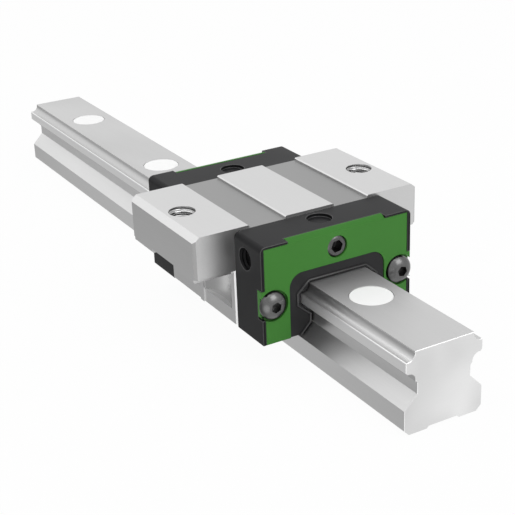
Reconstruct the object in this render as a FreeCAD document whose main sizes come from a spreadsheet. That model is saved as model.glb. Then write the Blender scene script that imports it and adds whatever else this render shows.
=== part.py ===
import FreeCAD, Part
import Sketcher
import math
import os

# A linear guide: a profiled steel rail, and a short flanged carriage that runs along it on
# four rows of recirculating balls. Millimetres. The rail lies along Y with its underside on
# Z = 0, and the origin is under the middle of its length. The carriage pieces are drawn
# about the middle of the carriage and then placed along the rail.

DRIVING_SIZES = {
    # rail
    "RailLength": 240.0,
    "RailHeight": 22.0,
    "RailTopWidth": 16.9,
    "EarWidth": 22.5,
    "EarTop": 19.4,
    "EarBottom": 16.8,
    "WaistWidth": 15.7,
    "WaistTop": 13.45,
    "WaistBottom": 10.5,
    "BaseWidth": 23.0,
    "BaseTop": 6.8,
    "BaseChamfer": 1.45,
    "ReliefWidth": 9.6,
    "ReliefDepth": 0.6,
    "RailEndChamfer": 0.35,
    # fixing holes of the rail, and their closing plugs
    "HolePitch": 60.0,
    "HoleEndDistance": 30.0,
    "HoleDiameter": 7.0,
    "CounterboreDiameter": 11.0,
    "CounterboreDepth": 9.0,
    "PlugThickness": 3.0,
    "PlugBevel": 0.4,
    "PlugClearance": 0.02,
    # balls and the paths they run in
    "BallDiameter": 3.969,
    "BallSink": 0.735,
    "RailGrooveClearance": 0.15,
    "SaddleGrooveClearance": 0.1,
    "UpperReturnX": 18.0,
    "UpperReturnZ": 25.0,
    "LowerReturnX": 17.6,
    "LowerReturnZ": 12.3,
    "PassageClearance": 0.17,
    "TubeWall": 0.45,
    "TubeClearance": 0.05,
    "BallGap": 0.02,
    # saddle, the steel body of the carriage
    "CarriageRest": -42.8,
    "CarriageHeight": 36.0,
    "SaddleLength": 37.6,
    "FlangeWidth": 70.0,
    "FlangeUnderside": 24.2,
    "PadUnderside": 23.1,
    "PadEndRelief": 1.2,
    "PadGap": 12.9,
    "FlangeChamferWidth": 1.8,
    "FlangeChamferHeight": 1.5,
    "LandInset": 16.5,
    "CentreLandWidth": 15.2,
    "ChannelDepth": 0.8,
    "LandChamfer": 0.3,
    "SkirtWidth": 47.0,
    "SkirtBottom": 8.4,
    "SaddleEndChamfer": 0.35,
    "FlangeCornerBevel": 0.7,
    "ScallopRadius": 19.0,
    "ScallopChord": 15.6,
    "ScallopSpacing": 17.6,
    "ScallopFloor": 12.3,
    "RibProud": 0.4,
    "CrownHeight": 24.0,
    "CrownWidth": 16.4,
    "UpperSeatTop": 23.3,
    "LipAngle": 45.0,
    "LipEase": 0.15,
    "CageSlotDepth": 1.75,
    "LowerLipX": 9.6,
    "LowerLipZ": 11.4,
    "LegInnerX": 11.9,
    "FlangeHoleInset": 6.5,
    "FlangeThread": 8.0,
    # end pieces, the moulded ends that turn the balls round
    "EndPieceDepth": 13.4,
    "EndPieceWidth": 46.4,
    "EndPieceTop": 35.2,
    "EndPieceBottom": 7.7,
    "EndPieceCornerRadius": 1.6,
    "EndPieceRailGap": 0.9,
    "PortThread": 6.0,
    "PortDepth": 7.0,
    "PortHeight": 29.5,
    "PortFromSaddle": 5.3,
    "TopSeatDiameter": 6.8,
    "TopSeatDepth": 1.0,
    "TopSeatFromSaddle": 4.6,
    # cover plates
    "CoverThickness": 1.2,
    "CoverSetBack": 0.2,
    "CoverClearance": 0.1,
    "CoverWidth": 44.2,
    "CoverTop": 34.4,
    "CoverOpeningWidth": 29.6,
    "CoverOpeningTop": 25.7,
    "CoverOpeningRadius": 4.0,
    "TopTabWidth": 29.8,
    "TopTabDepth": 2.1,
    "SideTabBottom": 15.6,
    "SideTabTop": 23.0,
    "SideTabDepth": 2.0,
    "TabThickness": 1.0,
    # wiper seals
    "SealClearance": 0.1,
    "SealThickness": 0.9,
    "SealRailGap": 0.2,
    "SealRidgeWidth": 0.7,
    "SealRidgeHeight": 0.45,
    # screws and plugs of the carriage ends
    "ScrewSpacing": 39.4,
    "ScrewHeight": 18.4,
    "ScrewDiameter": 4.0,
    "ScrewLength": 20.0,
    "ScrewClearance": 0.2,
    "ScrewFit": 0.05,
    "ScrewTipBevel": 0.4,
    "HeadDiameter": 7.6,
    "HeadHeight": 2.2,
    "HeadCrownDiameter": 3.8,
    "HeadSeatDiameter": 8.8,
    "HeadSeatDepth": 0.6,
    "HeadSocket": 2.5,
    "HeadSocketDepth": 1.3,
    "ScrewHoleDepth": 10.0,
    "PortPlugHeight": 30.0,
    "PortHoleClearance": 0.15,
    "PortPlugLength": 7.0,
    "PortPlugProud": 0.3,
    "PortPlugBevel": 0.5,
    "PortPlugSocket": 3.0,
    "PortPlugSocketDepth": 3.0,
    # ball guides, the inner halves of the turns
    "GuidePlateThickness": 1.2,
    "GuidePlateInner": 12.8,
    "GuidePlateOuter": 16.0,
    "GuidePlateTop": 25.0,
    "GuidePlateBottom": 11.6,
    "GuideClearance": 0.05,
    # ball cages and the seals under the legs
    "CageRailGap": 0.5,
    "CageTop": 19.5,
    "CageBottom": 16.4,
    "TopCageUnderside": 22.6,
    "TopCageWidth": 16.0,
    "TopCageLip": 0.5,
    "TopCageLipHeight": 0.4,
    "TopCageClearance": 0.1,
    "LegSealThickness": 0.8,
    "LegSealInner": 11.1,
    "LegSealOuter": 15.5,
}


class Measure:
    """A size in millimetres that carries the spreadsheet expression it comes from."""

    def __init__(self, value, text):
        self.value = value
        self.text = text

    def __add__(self, other):
        other = measure(other)
        return Measure(self.value + other.value, f"({self.text} + {other.text})")

    def __sub__(self, other):
        other = measure(other)
        return Measure(self.value - other.value, f"({self.text} - {other.text})")

    def __mul__(self, other):
        other = measure(other)
        return Measure(self.value * other.value, f"({self.text} * {other.text})")

    def __truediv__(self, other):
        other = measure(other)
        return Measure(self.value / other.value, f"({self.text} / {other.text})")

    def __neg__(self):
        return Measure(-self.value, f"(0 - {self.text})")

    def __float__(self):
        return float(self.value)


def measure(number):
    """Numbers written in the model become measures with no spreadsheet cell behind them."""
    if isinstance(number, Measure):
        return number
    return Measure(float(number), repr(float(number)))


def root(square):
    return Measure(math.sqrt(square.value), f"sqrt({square.text})")


def cosine(degrees):
    degrees = measure(degrees)
    return Measure(math.cos(math.radians(degrees.value)), f"cos({degrees.text})")


def sine(degrees):
    degrees = measure(degrees)
    return Measure(math.sin(math.radians(degrees.value)), f"sin({degrees.text})")


doc = FreeCAD.newDocument("LinearGuide")
sheet = doc.addObject("Spreadsheet::Sheet", "Sizes")
for row, (alias, number) in enumerate(DRIVING_SIZES.items(), start=1):
    sheet.set(f"A{row}", alias)
    sheet.set(f"B{row}", str(number))
    sheet.setAlias(f"B{row}", alias)
doc.recompute()


def size(alias):
    return Measure(float(sheet.get(alias)), f"Sizes.{alias}")


def half(alias):
    return size(alias) / 2


# Sketch helpers

class Arc:
    """Reaches the next corner of an outline round a centre, turning left or right."""

    def __init__(self, centre, left):
        self.centre = centre
        self.left = left


def bind(thing, place, length):
    length = measure(length)
    if "Sizes." in length.text:
        thing.setExpression(place, length.text)


def new_body(label):
    body = doc.addObject("PartDesign::Body", label)
    body.Label = label
    return body


def new_sketch(body, plane, name, offset=0.0):
    """A sketch on one of the body's own planes, offset along the plane's normal."""
    sketch = body.newObject("Sketcher::SketchObject", f"{body.Label}_{name}")
    origin_plane = [f for f in body.Origin.OriginFeatures if f.Role == plane][0]
    sketch.AttachmentSupport = [(origin_plane, "")]
    sketch.MapMode = "FlatFace"
    offset = measure(offset)
    sketch.AttachmentOffset = FreeCAD.Placement(
        FreeCAD.Vector(0, 0, offset.value), FreeCAD.Rotation())
    bind(sketch, "AttachmentOffset.Base.z", offset)
    return sketch


def pin(sketch, kind, geometry, end, value):
    value = measure(value)
    index = sketch.addConstraint(
        Sketcher.Constraint(kind, -1, 1, geometry, end, value.value))
    bind(sketch, f"Constraints[{index}]", value)


def pin_point(sketch, geometry, end, x, y):
    """Ties one end of a line, or a circle's centre, to its two coordinates."""
    pin(sketch, "DistanceX", geometry, end, x)
    pin(sketch, "DistanceY", geometry, end, y)


def add_outline(sketch, path):
    """Closed outline from corners (x, y), with an Arc between two corners where it is round."""
    corners = [step for step in path if not isinstance(step, Arc)]
    count = len(corners)
    links = []
    for position, step in enumerate(path):
        if not isinstance(step, Arc):
            following = path[(position + 1) % len(path)]
            links.append(following if isinstance(following, Arc) else None)
    ends = []
    for number in range(count):
        start = FreeCAD.Vector(*[measure(c).value for c in corners[number]], 0)
        finish = FreeCAD.Vector(*[measure(c).value for c in corners[(number + 1) % count]], 0)
        link = links[number]
        if link is None:
            geometry = sketch.addGeometry(Part.LineSegment(start, finish))
            ends.append((geometry, 1, 2))
            continue
        centre = FreeCAD.Vector(*[measure(c).value for c in link.centre], 0)
        first, last = (start, finish) if link.left else (finish, start)
        turn = [math.atan2(p.y - centre.y, p.x - centre.x) for p in (first, last)]
        circle = Part.Circle(centre, FreeCAD.Vector(0, 0, 1), (first - centre).Length)
        geometry = sketch.addGeometry(Part.ArcOfCircle(circle, turn[0], turn[1]))
        ends.append((geometry, 1, 2) if link.left else (geometry, 2, 1))
        chord = finish - start
        upright = abs(chord.y) > abs(chord.x)
        pin(sketch, "DistanceX" if upright else "DistanceY", geometry, 3,
            link.centre[0] if upright else link.centre[1])
    for number in range(count):
        geometry, start_end, finish_end = ends[number]
        following = ends[(number + 1) % count]
        sketch.addConstraint(Sketcher.Constraint(
            "Coincident", geometry, finish_end, following[0], following[1]))
        pin_point(sketch, geometry, start_end, *corners[number])


def add_circle(sketch, x, y, diameter):
    x, y, radius = measure(x), measure(y), measure(diameter) / 2
    circle = Part.Circle(FreeCAD.Vector(x.value, y.value, 0), FreeCAD.Vector(0, 0, 1),
                         radius.value)
    geometry = sketch.addGeometry(circle)
    pin_point(sketch, geometry, 3, x, y)
    index = sketch.addConstraint(Sketcher.Constraint("Radius", geometry, radius.value))
    bind(sketch, f"Constraints[{index}]", radius)


def add_rectangle(sketch, left, bottom, right, top):
    add_outline(sketch, [(left, bottom), (right, bottom), (right, top), (left, top)])


def add_hexagon(sketch, x, y, across_flats):
    reach = measure(across_flats) / 2 / cosine(30)
    add_outline(sketch, [(measure(x) + reach * cosine(turn), measure(y) + reach * sine(turn))
                         for turn in range(0, 360, 60)])


def mirrored(path):
    """A right half outline, from the top of the middle line down, closed by its mirror."""
    left = []
    for step in reversed(path):
        if isinstance(step, Arc):
            centre = (-measure(step.centre[0]), step.centre[1])
            left.append(Arc(centre, step.left))
        elif measure(step[0]).value != 0.0:
            left.append((-measure(step[0]), step[1]))
    return list(path) + left


def pad(body, sketch, length, symmetric=False, backwards=False):
    feature = body.newObject("PartDesign::Pad", f"{sketch.Label}_pad")
    feature.Profile = sketch
    feature.SideType = "Symmetric" if symmetric else "One side"
    feature.Reversed = backwards
    feature.Length = measure(length).value
    bind(feature, "Length", length)
    sketch.Visibility = False
    return feature


def pocket(body, sketch, depth=None, backwards=False, symmetric=False):
    feature = body.newObject("PartDesign::Pocket", f"{sketch.Label}_pocket")
    feature.Profile = sketch
    feature.SideType = "Symmetric" if symmetric else "One side"
    feature.Reversed = backwards
    if depth is None:
        feature.Type = "ThroughAll"
    else:
        feature.Length = measure(depth).value
        bind(feature, "Length", depth)
    return feature


def chamfer_edges(body, feature, name, wanted, width):
    """Chamfers the edges of a feature that the test picks."""
    doc.recompute()
    edges = [f"Edge{number}" for number, edge in enumerate(feature.Shape.Edges, start=1)
             if wanted(edge)]
    chamfer = body.newObject("PartDesign::Chamfer", f"{body.Label}_{name}")
    chamfer.Base = (feature, edges)
    chamfer.Size = measure(width).value
    bind(chamfer, "Size", width)
    return chamfer


def bevel_top_ends(body, end, top, width):
    """Breaks the two end edges of a body's top."""
    across = new_sketch(body, "YZ_Plane", "top_bevels")
    for along in (-1, 1):
        add_outline(across, [((end - width) * along, top), (end * along, top),
                             (end * along, top - width)])
    pocket(body, across, symmetric=True)


def bevel_upright_ends(body, name, side, end, low, high, width):
    """Breaks the four upright end edges of a body's sides, between two heights."""
    upright = new_sketch(body, "XY_Plane", f"{name}_bevels", low)
    for hand in (-1, 1):
        for along in (-1, 1):
            add_outline(upright, [((side - width) * hand, end * along),
                                  (side * hand, end * along),
                                  (side * hand, (end - width) * along)])
    pocket(body, upright, measure(high) - low, backwards=True)


def on_carriage(thing, rear=False):
    """Places a piece of the carriage along the rail. The rear ones are turned half a turn."""
    rest = size("CarriageRest")
    turn = FreeCAD.Rotation(FreeCAD.Vector(0, 0, 1), 180.0 if rear else 0.0)
    thing.Placement = FreeCAD.Placement(FreeCAD.Vector(0, rest.value, 0), turn)
    bind(thing, "Placement.Base.y", rest)


# Ball rows

BALL_RADIUS = half("BallDiameter")
PASSAGE_RADIUS = BALL_RADIUS + size("PassageClearance")
RAIL_GROOVE_RADIUS = BALL_RADIUS + size("RailGrooveClearance")
SADDLE_GROOVE_RADIUS = BALL_RADIUS + size("SaddleGrooveClearance")
SADDLE_END = half("SaddleLength")


def row_centre(inner, outer, downwards):
    """Centre of a loaded ball row, off the middle of the rail's sloped face."""
    run = outer[0] - inner[0]
    rise = outer[1] - inner[1]
    length = root(run * run + rise * rise)
    stand_off = BALL_RADIUS - size("BallSink")
    sign = -1.0 if downwards else 1.0
    x = (inner[0] + outer[0]) / 2 - rise / length * stand_off * sign
    z = (inner[1] + outer[1]) / 2 + run / length * stand_off * sign
    return x, z


UPPER_FACE = ((half("RailTopWidth"), size("RailHeight")), (half("EarWidth"), size("EarTop")))
LOWER_FACE = ((half("WaistWidth"), size("WaistTop")), (half("EarWidth"), size("EarBottom")))
UPPER_ROW = row_centre(*UPPER_FACE, downwards=False)
LOWER_ROW = row_centre(*LOWER_FACE, downwards=True)
UPPER_RETURN = (size("UpperReturnX"), size("UpperReturnZ"))
LOWER_RETURN = (size("LowerReturnX"), size("LowerReturnZ"))
CIRCUITS = {"upper": (UPPER_ROW, UPPER_RETURN), "lower": (LOWER_ROW, LOWER_RETURN)}


def groove_ends(inner, outer, centre):
    """Where the raceway of the rail cuts the sloped face it is ground into."""
    run = outer[0] - inner[0]
    rise = outer[1] - inner[1]
    length = root(run * run + rise * rise)
    stand_off = BALL_RADIUS - size("BallSink")
    reach = root(RAIL_GROOVE_RADIUS * RAIL_GROOVE_RADIUS - stand_off * stand_off)
    middle = ((inner[0] + outer[0]) / 2, (inner[1] + outer[1]) / 2)
    step = (run / length * reach, rise / length * reach)
    return ((middle[0] - step[0], middle[1] - step[1]),
            (middle[0] + step[0], middle[1] + step[1]))


# Rail

def make_rail():
    body = new_body("guide_rail")
    upper_inner, upper_outer = groove_ends(*UPPER_FACE, UPPER_ROW)
    lower_inner, lower_outer = groove_ends(*LOWER_FACE, LOWER_ROW)
    base, bevel = half("BaseWidth"), size("BaseChamfer")
    relief, relief_depth = half("ReliefWidth"), size("ReliefDepth")
    profile = new_sketch(body, "XZ_Plane", "profile")
    add_outline(profile, mirrored([
        UPPER_FACE[0],
        upper_inner,
        Arc(UPPER_ROW, left=True),
        upper_outer,
        UPPER_FACE[1],
        LOWER_FACE[1],
        lower_outer,
        Arc(LOWER_ROW, left=True),
        lower_inner,
        LOWER_FACE[0],
        (half("WaistWidth"), size("WaistBottom")),
        (base, size("BaseTop")),
        (base, bevel),
        (base - bevel, 0.0),
        (relief, 0.0),
        (relief - relief_depth, relief_depth),
    ]))
    pad(body, profile, size("RailLength"), symmetric=True)
    bevel, end = size("RailEndChamfer"), half("RailLength")
    bevel_top_ends(body, end, size("RailHeight"), bevel)
    bevel_upright_ends(body, "ear", half("EarWidth"), end, size("EarBottom") - bevel * 2,
                       size("EarTop") + bevel * 2, bevel)
    bevel_upright_ends(body, "base", half("BaseWidth"), end, 0.0,
                       size("BaseTop") + bevel * 2, bevel)
    first = size("HoleEndDistance") - half("RailLength")
    span = size("RailLength") - size("HoleEndDistance") * 2
    holes = new_sketch(body, "XY_Plane", "hole", 0.0)
    add_circle(holes, 0.0, first, size("HoleDiameter"))
    through = pocket(body, holes, size("RailHeight"), backwards=True)
    bores = new_sketch(body, "XY_Plane", "counterbore", size("RailHeight"))
    add_circle(bores, 0.0, first, size("CounterboreDiameter"))
    seats = pocket(body, bores, size("CounterboreDepth"))
    row = body.newObject("PartDesign::LinearPattern", "guide_rail_hole_row")
    row.Originals = [through, seats]
    axis = [f for f in body.Origin.OriginFeatures if f.Role == "Y_Axis"][0]
    row.Direction = (axis, [""])
    row.Length = span.value
    bind(row, "Length", span)
    row.Occurrences = hole_count()
    row.setExpression("Occurrences", f"round({span.text} / Sizes.HolePitch) + 1")
    body.Tip = row
    return body


def hole_count():
    span = size("RailLength") - size("HoleEndDistance") * 2
    return round(span.value / size("HolePitch").value) + 1


def make_rail_plugs():
    """Closing plugs of the counterbores: plastic discs, flush with the rail's top."""
    form = new_body("rail_plug_form")
    radius = half("CounterboreDiameter") - size("PlugClearance")
    top, thickness = size("RailHeight"), size("PlugThickness")
    section = new_sketch(form, "XZ_Plane", "section")
    add_outline(section, [
        (0.0, top),
        (0.0, top - thickness),
        (radius - size("PlugBevel"), top - thickness),
        (radius, top - thickness + size("PlugBevel")),
        (radius, top),
    ])
    turn = form.newObject("PartDesign::Revolution", "rail_plug_turn")
    turn.Profile = section
    turn.ReferenceAxis = (section, ["V_Axis"])
    turn.Angle = 360.0
    span = size("RailLength") - size("HoleEndDistance") * 2
    copies = []
    for number in range(hole_count()):
        place = span * (number / (hole_count() - 1)) - span / 2
        copies.append(linked_copy(form, f"rail_plug_{number + 1}", (0.0, place, 0.0)))
    return group("rail_plugs", copies)


def linked_copy(form, name, place):
    copy = doc.addObject("App::Link", name)
    copy.LinkedObject = form
    place = [measure(part) for part in place]
    copy.Placement = FreeCAD.Placement(
        FreeCAD.Vector(*[part.value for part in place]), FreeCAD.Rotation())
    for letter, part in zip("xyz", place):
        bind(copy, f"Placement.Base.{letter}", part)
    return copy


def group(label, copies):
    """Identical loose pieces as one named sub-part of separate solids."""
    pieces = doc.addObject("Part::Compound", label)
    pieces.Label = label
    pieces.Links = copies
    return pieces


# Saddle

def saddle_top_outline():
    """Right half of the saddle's outside: lands and channels on top, flange, skirt."""
    top = size("CarriageHeight")
    floor = top - size("ChannelDepth")
    soft = size("LandChamfer")
    centre_land, flange = half("CentreLandWidth"), half("FlangeWidth")
    outer_land = flange - size("LandInset")
    skirt = half("SkirtWidth")
    return [
        (centre_land - soft, top),
        (centre_land, top - soft),
        (centre_land, floor),
        (outer_land, floor),
        (outer_land, top - soft),
        (outer_land + soft, top),
        (flange - size("FlangeChamferWidth"), top),
        (flange, top - size("FlangeChamferHeight")),
        (flange, size("PadUnderside") + soft),
        (flange - soft, size("PadUnderside")),
        (skirt, size("PadUnderside")),
        (skirt, size("SkirtBottom")),
    ]


def saddle_slot_outline():
    """Right half of the slot that the rail runs in, from the bottom of the leg up."""
    lip = size("LipAngle")
    radius = SADDLE_GROOVE_RADIUS
    slot_side = half("EarWidth") + size("CageSlotDepth")
    upper_x, upper_z = UPPER_ROW
    lower_x, lower_z = LOWER_ROW
    upper_top = size("UpperSeatTop")
    rise = upper_top - upper_z
    upper_start_x = upper_x - root(radius * radius - rise * rise)
    upper_end = (upper_x + radius * cosine(lip), upper_z - radius * sine(lip))
    lower_start = (lower_x + radius * cosine(lip), lower_z + radius * sine(lip))
    lip_x = size("LowerLipX")
    run = lower_x - lip_x
    lower_end_z = lower_z - root(radius * radius - run * run)
    leg_inner = size("LegInnerX")
    return [
        (leg_inner, size("SkirtBottom")),
        (leg_inner, size("LowerLipZ") - (leg_inner - lip_x)),
        (lip_x, size("LowerLipZ")),
        (lip_x, lower_end_z),
        Arc(LOWER_ROW, left=True),
        lower_start,
        (slot_side, lower_start[1] + size("LipEase")),
        (slot_side, upper_end[1] - size("LipEase")),
        upper_end,
        Arc(UPPER_ROW, left=True),
        (upper_start_x, upper_top),
        (half("CrownWidth"), upper_top),
        (half("CrownWidth"), size("CrownHeight")),
    ]


def make_saddle():
    body = new_body("saddle")
    profile = new_sketch(body, "XZ_Plane", "profile")
    add_outline(profile, mirrored(saddle_top_outline() + saddle_slot_outline()))
    pad(body, profile, size("SaddleLength"), symmetric=True)
    bores = new_sketch(body, "XZ_Plane", "return_bores")
    bore = PASSAGE_RADIUS + size("TubeWall") + size("TubeClearance")
    for side in (-1, 1):
        for centre in (UPPER_RETURN, LOWER_RETURN):
            add_circle(bores, centre[0] * side, centre[1], bore * 2)
    pocket(body, bores, symmetric=True)
    threads = new_sketch(body, "XY_Plane", "flange_holes", size("CarriageHeight"))
    hole_x = half("FlangeWidth") - size("FlangeHoleInset")
    for side in (-1, 1):
        add_circle(threads, hole_x * side, 0.0, size("FlangeThread"))
    pocket(body, threads, size("CarriageHeight") - size("FlangeUnderside"))
    for name, side in (("front", 1), ("rear", -1)):
        taps = new_sketch(body, "XZ_Plane", f"{name}_screw_holes", SADDLE_END * side)
        for hand in (-1, 1):
            add_circle(taps, half("ScrewSpacing") * hand, size("ScrewHeight"),
                       size("ScrewDiameter"))
        pocket(body, taps, size("ScrewHoleDepth"), backwards=(side < 0))
    reliefs = new_sketch(body, "XY_Plane", "pad_reliefs", size("PadUnderside"))
    skirt, flange = half("SkirtWidth"), half("FlangeWidth")
    pad_end = SADDLE_END - size("PadEndRelief")
    for side in (-1, 1):
        low_x, high_x = (skirt, flange) if side > 0 else (-flange, -skirt)
        add_rectangle(reliefs, low_x, -SADDLE_END, high_x, -pad_end)
        add_rectangle(reliefs, low_x, -half("PadGap"), high_x, half("PadGap"))
        add_rectangle(reliefs, low_x, pad_end, high_x, SADDLE_END)
    relief_height = size("FlangeUnderside") - size("PadUnderside")
    pocket(body, reliefs, relief_height, backwards=True)
    bevel = size("SaddleEndChamfer")
    bevel_top_ends(body, SADDLE_END, size("CarriageHeight"), bevel)
    bevel_upright_ends(body, "flange", flange, SADDLE_END, size("PadUnderside"),
                       size("CarriageHeight"), size("FlangeCornerBevel"))
    bevel_upright_ends(body, "skirt", skirt, SADDLE_END, size("SkirtBottom"),
                       size("FlangeUnderside"), bevel)
    scallops = new_sketch(body, "XY_Plane", "scallops", size("ScallopFloor"))
    radius, chord = size("ScallopRadius"), half("ScallopChord")
    drop = root(radius * radius - chord * chord)
    for side in (-1, 1):
        for along in (-1, 1):
            middle = half("ScallopSpacing") * along
            low = (skirt * side, middle - chord)
            high = (skirt * side, middle + chord)
            centre = ((skirt + drop) * side, middle)
            add_outline(scallops, [low, Arc(centre, left=(side < 0)), high])
    pocket(body, scallops, size("FlangeUnderside") - size("ScallopFloor"), backwards=True)
    rib = new_sketch(body, "XY_Plane", "middle_ribs", size("SkirtBottom"))
    rib_half = (size("ScallopSpacing") - size("ScallopChord")) / 2
    for side in (-1, 1):
        inner, outer = skirt, skirt + size("RibProud")
        low_x, high_x = (inner, outer) if side > 0 else (-outer, -inner)
        add_rectangle(rib, low_x, -rib_half, high_x, rib_half)
    pad(body, rib, size("FlangeUnderside") - size("SkirtBottom"))
    return body


# End pieces

def rail_gap_outline(gap, bottom):
    """Right half of an opening that follows the rail at a gap, from the top down. Each corner
    is moved off by the gap on one side and by the ease, its share at 45 degrees, on the other."""
    gap = measure(gap)
    ease = gap * (math.sqrt(2.0) - 1.0)
    base_run = half("BaseWidth") - half("WaistWidth")
    base_fall = size("WaistBottom") - size("BaseTop")
    waist_bottom = size("WaistBottom") + ease
    foot_x = half("WaistWidth") + gap + (waist_bottom - bottom) * base_run / base_fall
    return [
        (half("RailTopWidth") + ease, size("RailHeight") + gap),
        (half("EarWidth") + gap, size("EarTop") + ease),
        (half("EarWidth") + gap, size("EarBottom") - ease),
        (half("WaistWidth") + gap, size("WaistTop") - ease),
        (half("WaistWidth") + gap, waist_bottom),
        (foot_x, bottom),
    ]


def arch_outline(width_half, top, radius, bottom):
    """Right half of an arch with rounded shoulders, from the top down."""
    return [
        (width_half - radius, top),
        Arc((width_half - radius, top - radius), left=False),
        (width_half, top - radius),
        (width_half, bottom),
    ]


def straddle(outside, inside):
    """A whole outline that goes down the outside and back up round the opening."""
    upwards = [Arc(step.centre, not step.left) if isinstance(step, Arc) else step
               for step in reversed(inside)]
    return mirrored(list(outside) + upwards)


def cover_face_outline(clearance):
    """Right half of the cover plate's front, with its tab at the side."""
    clearance = measure(clearance)
    width, edge = half("CoverWidth") + clearance, half("EndPieceWidth")
    return [
        (width, size("CoverTop") + clearance),
        (width, size("SideTabTop") + clearance),
        (edge, size("SideTabTop") + clearance),
        (edge, size("SideTabBottom") - clearance),
        (width, size("SideTabBottom") - clearance),
        (width, size("EndPieceBottom")),
    ]


def turn_frame(circuit):
    """Middle, radius and direction of the half turn between a row and its return bore."""
    row, back = CIRCUITS[circuit]
    run, rise = back[0] - row[0], back[1] - row[1]
    length = root(run * run + rise * rise)
    middle = ((row[0] + back[0]) / 2, (row[1] + back[1]) / 2)
    return middle, length / 2, (run / length, rise / length)


def turn_point(circuit, hand, outward, across):
    """A sketch point given from the middle of a turn, along and across its direction."""
    middle, _, (run, rise) = turn_frame(circuit)
    x = middle[0] + run * outward - rise * across
    z = middle[1] + rise * outward + run * across
    return (x * hand, z)


def add_turn_axis(sketch, circuit, hand, reach):
    low = turn_point(circuit, hand, 0.0, -reach)
    high = turn_point(circuit, hand, 0.0, reach)
    start = FreeCAD.Vector(low[0].value, low[1].value, 0)
    finish = FreeCAD.Vector(high[0].value, high[1].value, 0)
    line = sketch.addGeometry(Part.LineSegment(start, finish), True)
    pin_point(sketch, line, 1, *low)
    pin_point(sketch, line, 2, *high)


def turned_half(body, sketch, kind, name, backwards):
    """Half a turn of a sketch about its own construction line."""
    feature = body.newObject(kind, f"{body.Label}_{name}")
    feature.Profile = sketch
    feature.ReferenceAxis = (sketch, ["Axis0"])
    feature.Angle = 180.0
    feature.Reversed = backwards
    return feature


def passage_corners(circuit, hand, inwards, outwards):
    """Eight-sided section of a turn's passage, flats at the passage's radius. Its inner or
    outer side can be left out, where it joins the room for the guide or the plate."""
    _, radius, _ = turn_frame(circuit)
    flat = PASSAGE_RADIUS
    short = flat * (math.sqrt(2.0) - 1.0)
    corners = []
    if outwards:
        corners += [(radius + short, -flat), (radius + flat, -short),
                    (radius + flat, short), (radius + short, flat)]
    if inwards:
        corners += [(radius - short, flat), (radius - flat, short),
                    (radius - flat, -short), (radius - short, -flat)]
    return [turn_point(circuit, hand, out, across) for out, across in corners]


def cut_turn(body, circuit, hand):
    """The passage in which the balls turn back, and the room for the guide inside it."""
    sketch = new_sketch(body, "XZ_Plane", f"{circuit}_turn_{'left' if hand < 0 else 'right'}",
                        SADDLE_END)
    middle = measure(0.0)
    add_outline(sketch, [turn_point(circuit, hand, middle, -PASSAGE_RADIUS)]
                + passage_corners(circuit, hand, inwards=False, outwards=True)
                + [turn_point(circuit, hand, middle, PASSAGE_RADIUS)])
    add_turn_axis(sketch, circuit, hand, PASSAGE_RADIUS)
    turned_half(body, sketch, "PartDesign::Groove", f"{circuit}_turn_cut_{hand + 2}",
                backwards=(hand > 0))


def make_end_piece(label, rear):
    body = new_body(label)
    front = SADDLE_END + size("EndPieceDepth")
    face = front - size("CoverSetBack") - size("CoverThickness")
    bottom = size("EndPieceBottom")
    outline = new_sketch(body, "XZ_Plane", "outline", SADDLE_END)
    outside = arch_outline(half("EndPieceWidth"), size("EndPieceTop"),
                           size("EndPieceCornerRadius"), bottom)
    inside = rail_gap_outline(size("EndPieceRailGap"), bottom)
    add_outline(outline, straddle(outside, inside))
    pad(body, outline, size("EndPieceDepth"))
    cut_cover_recess(body, front, inside)
    screws = new_sketch(body, "XZ_Plane", "screw_holes", face)
    for hand in (-1, 1):
        add_circle(screws, half("ScrewSpacing") * hand, size("ScrewHeight"),
                   size("ScrewDiameter") + size("ScrewClearance") * 2)
    pocket(body, screws)
    cut_ports(body, face)
    seat = new_sketch(body, "XY_Plane", "top_seat", size("EndPieceTop"))
    add_circle(seat, 0.0, -SADDLE_END - size("TopSeatFromSaddle"), size("TopSeatDiameter"))
    pocket(body, seat, size("TopSeatDepth"))
    plate = new_sketch(body, "XZ_Plane", "guide_plate_pocket", SADDLE_END)
    for hand in (-1, 1):
        guide_plate_rectangle(plate, hand, size("GuideClearance"))
    pocket(body, plate, size("GuidePlateThickness"), backwards=True)
    for circuit in CIRCUITS:
        for hand in (-1, 1):
            cut_turn(body, circuit, hand)
    on_carriage(body, rear)
    return body


def cut_cover_recess(body, front, inside):
    """The shallow recess for the cover plate, and the notches for its three tabs."""
    cover = new_sketch(body, "XZ_Plane", "cover_recess", front)
    add_outline(cover, straddle(cover_face_outline(size("CoverClearance")), inside))
    pocket(body, cover, size("CoverSetBack") + size("CoverThickness"))
    clearance = size("CoverClearance")
    tab_depth = size("CoverSetBack") + clearance
    notch = new_sketch(body, "XZ_Plane", "top_tab_notch", front)
    tab, under = half("TopTabWidth") + clearance, size("EndPieceTop") - size("TabThickness")
    add_rectangle(notch, -tab, under - clearance, tab, size("EndPieceTop"))
    pocket(body, notch, tab_depth + size("TopTabDepth"))
    sides = new_sketch(body, "XZ_Plane", "side_tab_notches", front)
    edge = half("EndPieceWidth")
    inner = edge - size("TabThickness") - clearance
    low, high = size("SideTabBottom") - clearance, size("SideTabTop") + clearance
    add_rectangle(sides, inner, low, edge, high)
    add_rectangle(sides, -edge, low, -inner, high)
    pocket(body, sides, tab_depth + size("SideTabDepth"))


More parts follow.
